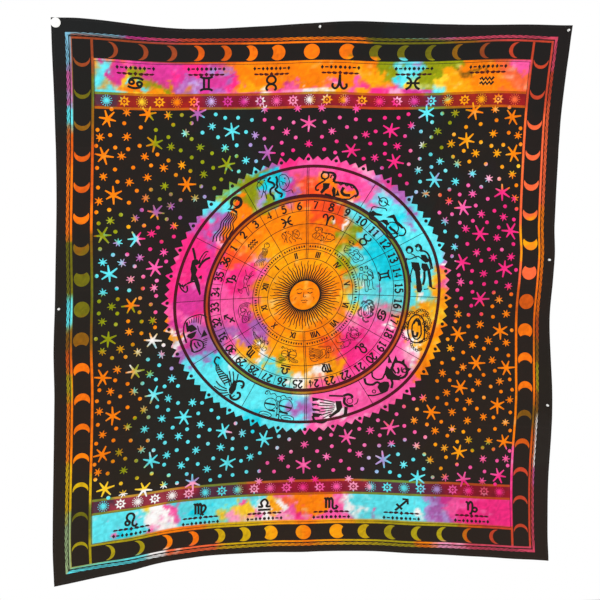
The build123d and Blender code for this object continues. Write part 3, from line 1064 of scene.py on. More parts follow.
# the dye: colours as they look, before they are turned linear
dyeColors = {
    "orange": (1.0, 0.50, 0.0), "amber": (1.0, 0.62, 0.02), "yellow": (0.98, 0.78, 0.16),
    "olive": (0.55, 0.58, 0.02),
    "turquoise": (0.36, 0.88, 0.92), "cyan": (0.04, 0.80, 0.88), "pink": (0.98, 0.34, 0.63),
    "hotPink": (0.96, 0.16, 0.50),
    "magenta": (0.82, 0.20, 0.56), "purple": (0.66, 0.36, 0.66), "lilac": (0.68, 0.55, 0.80),
    "red": (0.98, 0.30, 0.12),
    "white": (0.98, 0.95, 0.94), "brown": (0.80, 0.40, 0.06), "rose": (1.0, 0.60, 0.74),
    "brick": (0.78, 0.26, 0.15),
    "rust": (0.58, 0.25, 0.12), "moss": (0.42, 0.40, 0.05), "umber": (0.52, 0.34, 0.05),
    "burnt": (0.82, 0.34, 0.05),
    "tangerine": (0.97, 0.45, 0.02), "coral": (0.97, 0.40, 0.22), "gold": (0.83, 0.67, 0.04),
    "mustard": (0.67, 0.60, 0.06),
    "slate": (0.45, 0.68, 0.78), "mauve": (0.80, 0.36, 0.62), "crimson": (0.82, 0.27, 0.38),
    "sage": (0.62, 0.72, 0.52),
}
# the frame's dyes: along its rows and columns of moons, and along its hatched edge
frameDyes = {
    "left": "rust moss umber burnt burnt tangerine umber moss moss umber tangerine tangerine "
            "tangerine orange gold moss mustard",
    "right": "brick brick coral coral coral coral amber coral burnt tangerine tangerine tangerine "
             "umber burnt brick brick brick",
    "top": "rust rust rust burnt burnt tangerine tangerine tangerine tangerine moss moss moss "
           "umber rust brick",
    "bottom": "mustard mustard orange tangerine gold gold amber orange amber gold mustard mustard "
              "mustard burnt brick",
    "bandTop": "turquoise amber yellow amber orange pink lilac magenta magenta white pink rose white "
               "amber pink amber hotPink rose magenta turquoise amber amber amber orange coral",
    "bandBottom": "turquoise white white white white rose turquoise turquoise sage rose pink pink "
                  "hotPink pink pink rose turquoise turquoise turquoise turquoise lilac pink hotPink "
                  "crimson hotPink",
    "hatchLeft": "slate mauve turquoise burnt tangerine tangerine tangerine moss moss turquoise umber "
                 "burnt mustard orange orange gold gold sage sage",
    "hatchRight": "crimson brick coral coral coral coral orange orange tangerine tangerine burnt umber "
                  "mustard umber white white mauve crimson crimson",
    "hatchTop": "slate magenta crimson brick brick brick burnt orange orange moss moss turquoise "
                "slate mauve crimson crimson crimson",
    "hatchBottom": "turquoise turquoise white coral coral gold gold amber orange amber gold mustard "
                   "mustard orange rose crimson crimson",
}
# the other dyes, by colour: x, y and size of each patch
dyePatches = {
    "orange": [
        (-830, 740, 150), (-680, 790, 80), (-860, 600, 120), (-790, 560, 90), (-690, 600, 70),
        (-530, 500, 55),
        (-620, 560, 55), (-690, 530, 60), (-820, 455, 80), (-880, 430, 50), (-740, -5, 60), (-640, -100, 40),
        (-745, -100, 60), (-860, -300, 90), (-820, -450, 110), (-870, -620, 110), (-780, -350, 60),
        (-740, -450, 60), (-720, -600, 45), (480, -530, 55), (560, -430, 65), (600, -520, 70),
        (560, -620, 50),
        (700, -560, 100), (820, -450, 120), (860, -620, 80), (640, -400, 80), (720, -280, 100),
        (850, -280, 110), (640, -170, 70), (850, -130, 110), (760, -140, 80), (800, -40, 60), (510, 430, 22),
        (860, 470, 60), (850, 720, 110), (700, 790, 90), (0, 0, 170), (-100, 280, 80), (60, 250, 60),
        (175, 232, 22), (140, 70, 26), (60, -170, 80), (0, -230, 80), (-150, -80, 60), (-90, -150, 60),
        (-280, 270, 70), (30, 480, 50), (-300, 350, 40), (475, -350, 45), (-600, -110, 26), (540, -180, 40),
        (100, 440, 30), (330, -560, 20), (860, 620, 60), (-60, 330, 60), (0, 250, 50), (140, 430, 22),
        (190, 418, 18), (-296, 424, 20), (-590, 900, 20), (-290, 975, 34), (-310, 935, 26), (-240, 965, 40),
        (-160, 960, 44), (-80, 950, 50), (0, 945, 60), (90, 940, 50), (130, 965, 44), (40, 990, 40),
        (-30, 900, 40), (120, 905, 26), (220, 975, 30), (660, 900, 40), (680, 975, 36), (720, 930, 44),
        (620, 985, 26), (10, -930, 44), (-40, -915, 26), (60, -905, 20),
    ],
    "amber": [
        (-560, 570, 35), (-840, 380, 50), (-760, 320, 40), (-700, 325, 30), (-660, 380, 32), (-575, 320, 26),
        (-705, 20, 25), (640, -620, 80), (600, -680, 60), (600, -250, 60), (820, 580, 80), (700, 660, 90),
        (640, 640, 60), (60, 120, 90), (-150, 150, 110), (-100, 60, 110), (60, -80, 90), (-60, -280, 70),
        (-110, -240, 60), (-240, -240, 36), (-180, 20, 60), (-200, -60, 40), (-10, -330, 28), (110, -330, 40),
        (-60, -150, 90), (440, 30, 26), (470, 50, 22), (480, -150, 60), (440, -120, 36), (-590, -150, 24),
        (590, -60, 40), (585, 30, 40), (560, 100, 26), (480, -60, 26), (-150, -40, 40), (-640, 900, 22),
        (-250, 905, 24), (250, 905, 34), (180, 950, 36), (540, 920, 34), (610, 915, 36), (560, 890, 26),
        (-148, -932, 18), (0, -905, 22),
    ],
    "yellow": [
        (-670, -790, 45), (-840, -770, 40), (880, 540, 50), (150, -20, 36), (190, -50, 28), (-200, -200, 22),
        (190, 20, 20), (560, -100, 36), (-170, -300, 22), (540, 60, 24), (-640, -140, 26), (205, -28, 18),
        (-230, -215, 20), (455, -15, 22), (-120, -300, 26), (-795, 915, 20), (-730, 900, 18), (490, 900, 22),
        (400, 895, 18), (-345, -960, 22), (-262, -942, 26), (-150, -905, 16),
    ],
    "olive": [
        (-710, 730, 45), (-650, 720, 60), (-600, 690, 60), (-480, 650, 80), (-370, 580, 70), (-460, 560, 60),
        (-600, 470, 60), (-420, 500, 60), (-550, 780, 40), (-790, 370, 40), (-830, 340, 45), (-865, 290, 50),
        (-870, 230, 30), (-620, 375, 22), (-820, -5, 60), (-870, 15, 30), (-830, -120, 80), (-790, -40, 40),
        (-700, -60, 40), (-700, -300, 36), (-720, -520, 45), (-780, -700, 55), (750, -640, 45),
        (530, 640, 45),
        (560, 730, 45), (620, 740, 35), (130, 180, 32), (150, 120, 32), (110, 260, 30), (170, 255, 24),
        (-130, -270, 22), (-260, 450, 50), (-240, 490, 40), (-210, 400, 30), (-325, 480, 40), (190, 90, 22),
        (210, 110, 22), (-200, 530, 16), (-745, 930, 28), (-700, 925, 24), (-610, 908, 20), (-655, 925, 18),
        (280, 975, 36), (325, 980, 24), (300, 940, 22), (470, 920, 26), (450, 960, 24), (520, 985, 26),
        (560, 975, 26), (430, 885, 16),
    ],
    "turquoise": [
        (-533, 717, 22), (-430, 735, 60), (-340, 715, 60), (-280, 710, 45), (-410, 790, 40), (-320, 775, 40),
        (-290, 590, 40), (-314, 541, 22), (-735, 270, 42), (-800, 255, 28), (-860, 175, 40), (-840, 125, 70),
        (-855, 55, 50), (-750, 55, 30), (-610, -240, 50), (-650, -400, 80), (-580, -440, 90),
        (-520, -540, 100), (-650, -560, 70), (-600, -650, 80), (-440, -620, 90), (-350, -720, 90),
        (-480, -740, 80), (-200, -640, 60), (-130, -650, 50), (430, -800, 70), (380, -720, 45),
        (590, 200, 35),
        (580, 490, 40), (480, 500, 70), (700, 500, 36), (500, 580, 45), (420, 700, 45), (470, 760, 60),
        (230, 280, 60), (180, 170, 45), (230, 120, 60), (300, 40, 60), (200, 0, 50), (230, -50, 40),
        (-150, -310, 36), (-230, -290, 50), (-260, -330, 50), (-170, -370, 60), (-120, 500, 26),
        (300, 340, 80), (400, 240, 80), (450, 130, 70), (430, 0, 50), (480, 60, 60), (-380, -320, 80),
        (-330, -420, 90), (-200, -490, 90), (-110, -500, 60), (-280, -470, 70), (-420, -410, 60),
        (-500, -320, 50), (-150, -590, 60), (-60, -600, 40), (-350, -540, 60), (-240, 545, 40),
        (-420, 400, 40), (-370, 400, 36), (-410, 290, 26), (450, 400, 60), (540, 260, 50), (560, 190, 40),
        (-230, 585, 30), (-560, -390, 40), (-170, -255, 22), (-330, 470, 30), (-880, 905, 34),
        (-870, 950, 26),
        (-770, 900, 16), (-700, 893, 14), (340, 930, 20), (365, 905, 30), (385, 975, 26), (415, 965, 18),
        (-850, -935, 50), (-770, -920, 46), (-720, -970, 46), (-880, -980, 40), (-500, -920, 34),
        (-400, -950, 46), (-450, -980, 36), (-330, -900, 40), (-230, -910, 26), (220, -930, 34),
        (290, -940, 50), (370, -930, 50), (440, -960, 46), (490, -930, 28),
    ],
    "cyan": [
        (-800, 70, 30), (280, 180, 70), (330, 120, 70), (-180, 470, 40), (-160, 510, 30), (-130, 425, 22),
        (350, 280, 50), (-280, 500, 20), (-400, -300, 40), (-240, -540, 40), (-640, 30, 10), (-440, -930, 26),
        (340, 905, 14), (-760, -990, 24),
    ],
    "pink": [
        (-150, 700, 70), (-60, 720, 100), (-710, 390, 25), (-650, 150, 70), (-640, 60, 50), (-650, 0, 50),
        (0, -720, 100), (-100, -760, 60), (100, -740, 80), (150, -650, 60), (320, -610, 70), (430, -570, 50),
        (800, -740, 80), (700, -780, 70), (870, -700, 50), (620, 80, 50), (620, 380, 60), (690, 420, 80),
        (130, 750, 100), (150, -140, 60), (250, -150, 70), (300, -230, 80), (-300, -30, 80), (-250, 90, 50),
        (-380, -60, 60), (-330, -220, 45), (-390, 40, 70), (160, 500, 60), (220, 440, 50), (250, -420, 90),
        (330, -330, 60), (170, -470, 60), (60, -460, 40), (0, -610, 50), (130, -590, 60), (300, -510, 60),
        (420, -420, 40), (-560, -60, 50), (100, 560, 60), (-20, 560, 50), (-760, 980, 26), (-350, 895, 26),
        (-100, 900, 20), (180, 893, 16), (835, 985, 28), (868, 990, 24), (80, 880, 14), (-570, -930, 24),
        (-545, -955, 18), (-270, -903, 14), (-220, -968, 14), (-75, -965, 30), (100, -945, 40),
        (60, -980, 30),
        (-660, -975, 16), (-790, -960, 12), (640, -930, 34), (270, -985, 14),
    ],
    "hotPink": [
        (-30, 640, 60), (-100, 600, 50), (-660, 290, 55), (-600, 260, 70), (-765, 205, 28), (850, -780, 50),
        (700, 0, 70), (640, 150, 70), (830, 130, 90), (840, 280, 110), (700, 270, 90), (800, 400, 70),
        (330, 560, 80), (320, 680, 100), (150, 620, 90), (250, 770, 80), (200, -230, 80), (-320, 80, 90),
        (-500, 150, 80), (-470, 220, 50), (160, 490, 40), (100, 520, 30), (-560, 100, 60), (-590, 40, 40),
        (-440, 320, 36), (-560, 210, 40), (-460, -60, 50), (-540, 970, 34), (-490, 955, 28), (-340, 930, 26),
        (720, -940, 50), (800, -930, 60), (870, -960, 50), (660, -980, 40), (-20, -985, 24),
    ],
    "magenta": [
        (-580, 130, 36), (-540, 0, 60), (-480, 0, 50), (-520, -190, 40), (-260, -120, 60), (-90, 480, 30),
        (-500, 60, 55), (-400, 140, 45), (-440, -40, 45), (-560, -90, 36), (-420, 230, 40), (-840, 942, 24),
        (-810, 975, 26), (-700, 970, 40), (-620, 975, 40), (-560, 945, 26), (-400, 935, 32), (-450, 975, 26),
        (-430, 895, 20), (-130, 902, 22), (-890, 992, 14), (590, -900, 22),
    ],
    "purple": [
        (-480, 800, 45), (-200, 620, 55), (-730, 360, 36), (-640, 430, 36), (-590, 400, 45), (-550, 360, 36),
        (-710, 195, 36), (600, 180, 26), (290, 30, 24), (-360, -150, 50), (-200, -150, 55), (-420, 290, 50),
        (-370, 330, 40), (-120, 490, 40), (-90, 440, 36), (240, 460, 30), (400, 350, 30), (-470, 350, 30),
        (-180, 555, 30), (300, 530, 40), (380, 440, 40), (430, 290, 22), (-60, -500, 40), (-500, -230, 40),
        (-430, -230, 30), (-450, -300, 30), (-480, -120, 46), (-300, -170, 36), (-520, 330, 34),
        (-250, -190, 26), (-545, 915, 26), (-510, 925, 26), (-470, 925, 22), (-375, 905, 22), (560, -935, 22),
        (580, -980, 20),
    ],
    "lilac": [
        (-250, 685, 40), (-240, 590, 26), (-820, 210, 32), (-785, 170, 32), (300, -720, 40), (460, 430, 40),
        (250, 270, 28), (-220, 160, 20), (500, 540, 30), (-480, -800, 40), (-430, 440, 30), (350, 400, 40),
        (-210, 440, 24), (-580, -270, 30), (250, 520, 30), (590, 230, 20), (240, -40, 22), (280, -110, 22),
        (-260, 480, 18), (-500, 905, 20), (-390, 965, 20), (405, 992, 12), (520, -920, 26), (600, -950, 26),
        (530, -970, 24),
    ],
    "red": [
        (560, 410, 36), (40, 340, 60), (110, -220, 45), (-330, 200, 50), (60, 130, 30), (-300, 380, 24),
        (-20, 470, 40), (30, 430, 30),
    ],
    "white": [
        (-650, -170, 35), (-740, -270, 35), (-840, -740, 21), (-640, -640, 20), (290, -715, 25),
        (460, 680, 25), (205, 30, 17), (270, -60, 24), (330, -140, 18), (-60, -370, 35), (30, -345, 25),
        (-200, -235, 28), (-300, -280, 25), (-290, -200, 17), (440, -230, 25), (400, -190, 21),
        (420, -300, 21), (120, -500, 28), (60, -490, 28), (-560, -200, 25), (-150, 640, 8), (590, 150, 18),
        (430, 90, 18), (110, 390, 15), (-330, -250, 17), (150, 400, 17), (460, 540, 17), (110, 300, 11),
        (250, -100, 18), (480, -20, 18), (-550, -160, 14), (-232, 900, 16), (-45, 887, 10), (-630, -930, 30),
        (-600, -900, 22), (-590, -975, 24), (-200, -950, 26), (-110, -930, 18), (170, -920, 20),
        (200, -955, 18), (470, -985, 18),
    ],
    "brown": [
        (-695, 65, 28),
    ],
    "rose": [
        (-506, 758, 20), (-700, 268, 18), (-750, 105, 36), (-330, -600, 28), (-60, -660, 60), (500, -620, 36),
        (760, 520, 45), (420, 590, 36), (200, -80, 36), (-250, 150, 24), (-620, -200, 30), (-570, -230, 26),
        (-120, -650, 24), (200, 545, 36), (400, -270, 36), (-380, 240, 22), (60, -580, 30), (620, -600, 20),
        (60, 893, 14), (-795, -920, 11), (-650, -960, 18), (-300, -990, 18), (150, -935, 20),
        (-100, -985, 20),
    ],
    "brick": [
        (-350, 250, 20),
    ],
    "umber": [
        (640, 958, 18), (685, 950, 16), (600, 950, 14),
    ],
    "coral": [
        (790, 930, 40), (850, 905, 40), (770, 985, 26), (-70, -915, 24),
    ],
}


def dyeAlong(names, t):
    table = np.array([dyeColors[name] for name in names.split()])
    t = np.clip(t, 0, 1) * (len(table) - 1)
    low = np.minimum(t.astype(int), len(table) - 2)
    part = ease(0.2, 0.8, t - low)[..., None]
    return table[low] * (1 - part) + table[low + 1] * part


dyeing = {
    "frameFrom": (891, 1003),         # where the moons' frame starts, across and up
    "bandWidth": 1680,
    "bandEdges": (806, 812, 874, 880),
    "frameSize": (1650, 2012),
    "hatchFrom": 86,                  # the hatched edge, from where the frame starts
    "softness": (2.6, 0.30, 0.24),
    "bleed": [(70, 30), (30, 22), (15, 15), (8, 6)],         # size and reach of each wave of the edges
    "dropBleed": [(120, 60), (16, 34)],
    "drops": 0.75,
    "pale": 0.4,
    "deep": [(0.07, 120, 33), (0.09, 9, 34)],
}


def patchDye(x, y):
    sharp, near, grow = dyeing["softness"]
    best = np.full(x.shape, 1e9)
    patches = [(dyeColors[name], *patch) for name, rows in dyePatches.items() for patch in rows]
    scores = []
    for _, px, py, r in patches:
        score = np.hypot(x - px, y - py) / r
        scores.append(score)
        best = np.minimum(best, score)
    total = np.zeros(x.shape)
    color = np.zeros(x.shape + (3,))
    for (tint, *_), score in zip(patches, scores):
        weight = np.exp(-sharp * (score - best) / (near + grow * best))
        total += weight
        color += weight[..., None] * np.array(tint)
    return color / total[..., None]


def warped(x, y, waves, seed):
    move = [
        sum(far * smoothNoise(x, y, size, seed + 10 * axis + k) for k, (size, far) in enumerate(waves))
        for axis in (0, 1)
    ]
    return x + move[0], y + move[1]


def over(below, above, share):
    return below * (1 - share[..., None]) + above * share[..., None]


def dyeAt(x, y):
    wx, wy = warped(x, y, dyeing["bleed"], 11)
    color = patchDye(wx, wy)
    drops = np.clip(1.5 * smoothNoise(x, y, 19, 41) + 1.0 * smoothNoise(x, y, 10, 42) - 0.75, 0, 1)[..., None]
    strength = dyeing["drops"]
    dropped = patchDye(*warped(x, y, dyeing["dropBleed"], 51))
    color = color * (1 - strength * drops) + strength * drops * dropped
    low, lowEnd, high, highEnd = dyeing["bandEdges"]
    t = (wx + dyeing["bandWidth"] / 2) / dyeing["bandWidth"]
    onTop = (y > 0)[..., None]
    band = np.where(onTop, dyeAlong(frameDyes["bandTop"], t), dyeAlong(frameDyes["bandBottom"], t))
    color = over(color, band, ease(low, lowEnd, np.abs(y)) * (1 - ease(high, highEnd, np.abs(y))))
    pastSide, pastEnd = np.abs(x) - dyeing["frameFrom"][0], np.abs(y) - dyeing["frameFrom"][1]
    beyond = np.maximum(pastSide, pastEnd)
    wide, high = dyeing["frameSize"]
    across, down = (wx + wide / 2) / wide, (high / 2 - wy) / high
    for start, zone in ((0, ""), (dyeing["hatchFrom"], "hatch")):
        left, right, top, bottom = (
            frameDyes[zone + side.title() if zone else side] for side in ("left", "right", "top", "bottom")
        )
        column = np.where((x < 0)[..., None], dyeAlong(left, down), dyeAlong(right, down))
        row = np.where(onTop, dyeAlong(top, across), dyeAlong(bottom, across))
        frameColor = np.where((pastSide > pastEnd)[..., None], column, row)
        color = over(color, frameColor, ease(start - 4, start + 4, beyond))
    pale = np.clip(0.9 * smoothNoise(x, y, 46, 31) + 0.8 * smoothNoise(x, y, 15, 32) - 0.55, 0, 1)
    color = color + (1 - color) * (dyeing["pale"] * pale * (beyond < 0))[..., None]
    deep = 1 + sum(far * smoothNoise(x, y, size, seed) for far, size, seed in dyeing["deep"])
    color = np.clip(color * deep[..., None], 0, 1)
    return np.where(color <= 0.04045, color / 12.92, ((color + 0.055) / 1.055) ** 2.4)       # sRGB to linear


def meshPiece(name, points, faces, flat):
    mesh = bpy.data.meshes.new(name)
    mesh.from_pydata(points.tolist(), [], faces.tolist() if hasattr(faces, "tolist") else faces)
    mesh.polygons.foreach_set("use_smooth", [True] * len(mesh.polygons))
    piece = bpy.data.objects.new(name, mesh)
    bpy.context.scene.collection.objects.link(piece)
    corner = np.empty(len(mesh.loops), int)
    mesh.loops.foreach_get("vertex_index", corner)
    place = (flat + cloth["height"] / 2) / cloth["height"]
    mesh.uv_layers.new(name="cloth").data.foreach_set("uv", place[corner].ravel())
    return piece


def addDye(piece, flat):
    color = dyeAt(flat[:, 0], flat[:, 1])
    layer = piece.data.color_attributes.new("dye", "FLOAT_COLOR", "POINT")
    layer.data.foreach_set("color", np.column_stack([color, np.ones(len(color))]).ravel())


def makeSheet():
    columns, rows = int(cloth["width"] / cloth["gridStep"]), int(cloth["height"] / cloth["gridStep"])
    xs = np.linspace(-halfWide, halfWide, columns + 1)
    ys = np.linspace(-halfHigh, halfHigh, rows + 1)
    gx, gy = np.meshgrid(xs, ys)
    flat = np.column_stack([gx.ravel(), gy.ravel()])
    first = (np.arange(rows)[:, None] * (columns + 1) + np.arange(columns)).ravel()
    faces = np.column_stack([first, first + 1, first + columns + 2, first + columns + 1])
    piece = meshPiece("dyed_cloth", hang(flat[:, 0], flat[:, 1]), faces, flat)
    addDye(piece, flat)
    return piece


def makePrint(name, ink, lift, back):
    tris = printTris[printInks == ink]
    used, order = np.unique(tris, return_inverse=True)
    tris = order.reshape(-1, 3)
    if back:
        tris = tris[:, ::-1]
    px, py = printFlat[used].T
    x, y = toCloth(px, py)
    flat = np.column_stack([x, y])
    piece = meshPiece(name, hang(x, y, lift), tris, flat)
    addDye(piece, flat)
    return piece


sheet = makeSheet()
prints = {}
for ink in ("black", "maroon", "brown", "ochre"):
    for side in ("front", "back"):
        name = f"{ink}_print_{side}"
        prints[name] = makePrint(name, ink, cloth["printLift"][side], side == "back")
print("cloth and print hung:", {name: len(p.data.polygons) for name, p in prints.items()})

hem = {
    "width": 12.0,
    "step": 10.0,
    "stitchInset": 9.5,
    "stitchPitch": 3.4,
    "stitchLength": 2.7,
    "threadWidth": 0.55,
    "threadHeight": 0.30,
    "stitchSides": ((0.34, 1), (-1.02, -1)),      # the front's and the back's height, and which way is out
    "section": [          # inward from the edge and off the sheet's middle, once round the fold
        (0.5, 0.17), (-0.30, 0.08), (-0.62, -0.36), (-0.34, -0.84), (0.6, -1.0), (5.5, -0.93), (9.5, -0.80),
        (11.3, -0.98), (12.0, -0.74), (11.6, -0.32), (9.5, -0.18), (5.5, -0.12), (0.8, -0.10),
    ],
}
edges = {                                   # start, direction along, direction inward, length
    "top": ((-halfWide, halfHigh), (1, 0), (0, -1), cloth["width"]),
    "bottom": ((halfWide, -halfHigh), (-1, 0), (0, 1), cloth["width"]),
    "left": ((-halfWide, -halfHigh), (0, 1), (1, 0), cloth["height"]),
    "right": ((halfWide, halfHigh), (0, -1), (-1, 0), cloth["height"]),
}


def fromEdge(name, place, inset):
    start, along, inward, _ = edges[name]
    return tuple(start[i] + along[i] * place + inward[i] * inset for i in (0, 1))


def hungPiece(name, flat, lifts, faces):
    flat = np.array(flat)
    return meshPiece(name, hang(flat[:, 0], flat[:, 1], np.array(lifts)), faces, flat)


def makeHem(name):
    length = edges[name][3]
    trim = 0.0 if name in ("top", "bottom") else hem["width"] + 0.3
    count = int((length - 2 * trim) / hem["step"])
    section = hem["section"]
    sides = len(section)
    t = trim + (length - 2 * trim) * np.arange(count + 1) / count
    flat, lifts, faces = [], [], []
    for k, place in enumerate(t):
        pucker = 1 + 0.08 * math.sin(k * 2.1) + 0.06 * math.sin(k * 0.83 + 1)
        for inset, lift in section:
            flat.append(fromEdge(name, place, inset))
            lifts.append(lift * pucker if lift < -0.3 else lift)
    for k in range(count):
        for j in range(sides):
            a, b = k * sides + j, k * sides + (j + 1) % sides
            faces.append([a, b, b + sides, a + sides])
    faces.append(list(range(sides))[::-1])
    faces.append([count * sides + j for j in range(sides)])
    return hungPiece(f"{name}_hem_fold", flat, lifts, faces)


def makeStitches(name):
    length = edges[name][3]
    inset = hem["stitchInset"]
    count = int((length - 2 * inset) / hem["stitchPitch"])
    half, wide, high = hem["stitchLength"] / 2, hem["threadWidth"] / 2, hem["threadHeight"]
    rings = [(-half, 0.25), (-half * 0.72, 1.0), (half * 0.72, 1.0), (half, 0.25)]
    flat, lifts, faces = [], [], []
    for k in range(count):
        middle = inset + (k + 0.5) * (length - 2 * inset) / count
        slant = 0.12 * math.sin(k * 1.7)
        for base, outward in hem["stitchSides"]:
            first = len(flat)
            for place, size in rings:
                for j in range(6):
                    a = math.tau * j / 6
                    side = wide * size * math.cos(a) + slant * place
                    flat.append(fromEdge(name, middle + place, inset + side))
                    lifts.append(base + outward * (0.02 + 0.5 * high * size * (1 + math.sin(a))))
            for r in range(3):
                for j in range(6):
                    a, b = first + r * 6 + j, first + r * 6 + (j + 1) % 6
                    quad = [a, b, b + 6, a + 6]
                    faces.append(quad if outward > 0 else quad[::-1])
            cap, end = [first + j for j in range(6)], [first + 18 + j for j in range(6)]
            faces.append(cap[::-1] if outward > 0 else cap)
            faces.append(end if outward > 0 else end[::-1])
    return hungPiece(f"{name}_stitches", flat, lifts, faces)


hems = {name: makeHem(name) for name in edges}
stitches = {name: makeStitches(name) for name in edges}
for piece in list(hems.values()) + list(stitches.values()):
    bpy.context.view_layer.objects.active = piece
    piece.select_set(True)
    bpy.ops.object.mode_set(mode="EDIT")
    bpy.ops.mesh.select_all(action="SELECT")
    bpy.ops.mesh.normals_make_consistent(inside=False)
    bpy.ops.object.mode_set(mode="OBJECT")
    piece.select_set(False)
print("hems and stitches sewn")

weave = {
    "threadPitch": 0.62,      # mm between threads
    "waveBand": 0.314,        # a wave texture's band at scale 1
    "slubLength": 26.0,
    "creaseWidth": 5.0,
    "bumpHeight": 0.00012,
    "sheen": 0.04,
    "specular": 0.12,
    "slubShade": 0.22,
    "redTint": (1.0, 0.12, 0.20),       # what each ink lets through of the dye under it
    "brownTint": (1.0, 0.30, 0.30),
    "ochreTint": (1.0, 0.58, 0.08),
    "hemBlack": (0.0085, 0.0080, 0.0078),
    "threadBlack": (0.030, 0.028, 0.028),
}
# each print's pigment, its colour at the foot, the share of dye seen through, the creases and the tint
inks = {
    "black_print_front": (
        "black_pigment", (0.0090, 0.0088, 0.0083), (0.0200, 0.0135, 0.0095), 0.004, 0.25, None,
    ),
    "maroon_print_front": ("maroon_pigment", (0.075, 0.0070, 0.0130), None, 0.24, 0.15, weave["redTint"]),
    "brown_print_front": ("brown_pigment", (0.036, 0.0060, 0.0080), None, 0.04, 0.15, weave["brownTint"]),
    "ochre_print_front": ("ochre_pigment", (0.22, 0.080, 0.006), None, 0.40, 0.15, weave["ochreTint"]),
    "black_print_back": ("black_seen_through", (0.022, 0.020, 0.019), None, 0.04, 0.25, None),
    "maroon_print_back": ("maroon_seen_through", (0.14, 0.022, 0.032), None, 0.38, 0.2, weave["redTint"]),
    "brown_print_back": ("brown_seen_through", (0.11, 0.028, 0.028), None, 0.25, 0.2, weave["brownTint"]),
    "ochre_print_back": ("ochre_seen_through", (0.16, 0.085, 0.015), None, 0.45, 0.2, weave["ochreTint"]),
}


def newMaterial(name, roughness, metallic=0.0):
    material = bpy.data.materials.new(name)
    material.use_nodes = True
    shader = material.node_tree.nodes["Principled BSDF"]
    shader.inputs["Roughness"].default_value = roughness
    shader.inputs["Metallic"].default_value = metallic
    return material, material.node_tree, shader


def addNode(tree, kind, **values):
    node = tree.nodes.new(kind)
    for key, value in values.items():
        setattr(node, key, value)
    return node


def plug(tree, socket, value):
    if hasattr(value, "is_output"):
        tree.links.new(value, socket)
    elif value is not None:
        socket.default_value = (*value, 1) if isinstance(value, tuple) else value


def mathNode(tree, operation, a, b=None, clamp=False):
    node = addNode(tree, "ShaderNodeMath", operation=operation, use_clamp=clamp)
    plug(tree, node.inputs[0], a)
    plug(tree, node.inputs[1], b)
    return node.outputs[0]


def mixColor(tree, factor, a, b, blend="MIX"):
    mix = addNode(tree, "ShaderNodeMix", data_type="RGBA", blend_type=blend)
    for number, value in ((0, factor), (6, a), (7, b)):
        plug(tree, mix.inputs[number], value)
    return mix.outputs[2]


def clothPlace(tree):
    return addNode(tree, "ShaderNodeUVMap", uv_map="cloth").outputs["UV"]


def objectPlace(tree):
    return addNode(tree, "ShaderNodeTexCoord").outputs["Object"]


def noiseAt(tree, place, stretch, detail=2.0):
    mapping = addNode(tree, "ShaderNodeMapping")
    mapping.inputs["Scale"].default_value = stretch
    tree.links.new(place, mapping.inputs["Vector"])
    noise = addNode(tree, "ShaderNodeTexNoise")
    noise.inputs["Scale"].default_value = 1.0
    noise.inputs["Detail"].default_value = detail
    tree.links.new(mapping.outputs[0], noise.inputs["Vector"])
    return noise.outputs["Fac"]


def bumpFrom(tree, shader, height, strength, distance):
    bump = addNode(tree, "ShaderNodeBump")
    bump.inputs["Strength"].default_value = strength
    bump.inputs["Distance"].default_value = distance
    tree.links.new(height, bump.inputs["Height"])
    tree.links.new(bump.outputs[0], shader.inputs["Normal"])


def creaseLines(tree, place):
    split = addNode(tree, "ShaderNodeSeparateXYZ")
    wobble = mathNode(tree, "MULTIPLY", noiseAt(tree, place, (14, 14, 1)), 0.004)
    tree.links.new(place, split.inputs[0])
    size = cloth["height"]
    total = None
    rows = [("X", x) for x in folds["creasesDown"]] + [("Y", y) for y in folds["creasesAcross"]]
    for axis, where in rows:
        middle = (where + size / 2) / size + 0.002
        wavy = mathNode(tree, "ADD", split.outputs[axis], wobble)
        away = mathNode(tree, "ABSOLUTE", mathNode(tree, "SUBTRACT", wavy, middle))
        share = mathNode(tree, "DIVIDE", away, weave["creaseWidth"] / size)
        line = mathNode(tree, "SUBTRACT", 1.0, share, clamp=True)
        total = line if total is None else mathNode(tree, "ADD", total, line)
    return mathNode(tree, "MULTIPLY", total, noiseAt(tree, place, (30, 30, 1)))


def weaveBump(tree, shader, place, crease, strength):
    waves = []
    for direction in ("X", "Y"):
        wave = addNode(tree, "ShaderNodeTexWave", bands_direction=direction)
        wave.inputs["Scale"].default_value = weave["waveBand"] * cloth["height"] / weave["threadPitch"]
        tree.links.new(place, wave.inputs["Vector"])
        waves.append(wave.outputs["Fac"])
    height = mathNode(tree, "ADD", *waves)
    if crease is not None:
        height = mathNode(tree, "ADD", height, mathNode(tree, "MULTIPLY", crease, 6.0))
    bumpFrom(tree, shader, height, strength, weave["bumpHeight"])


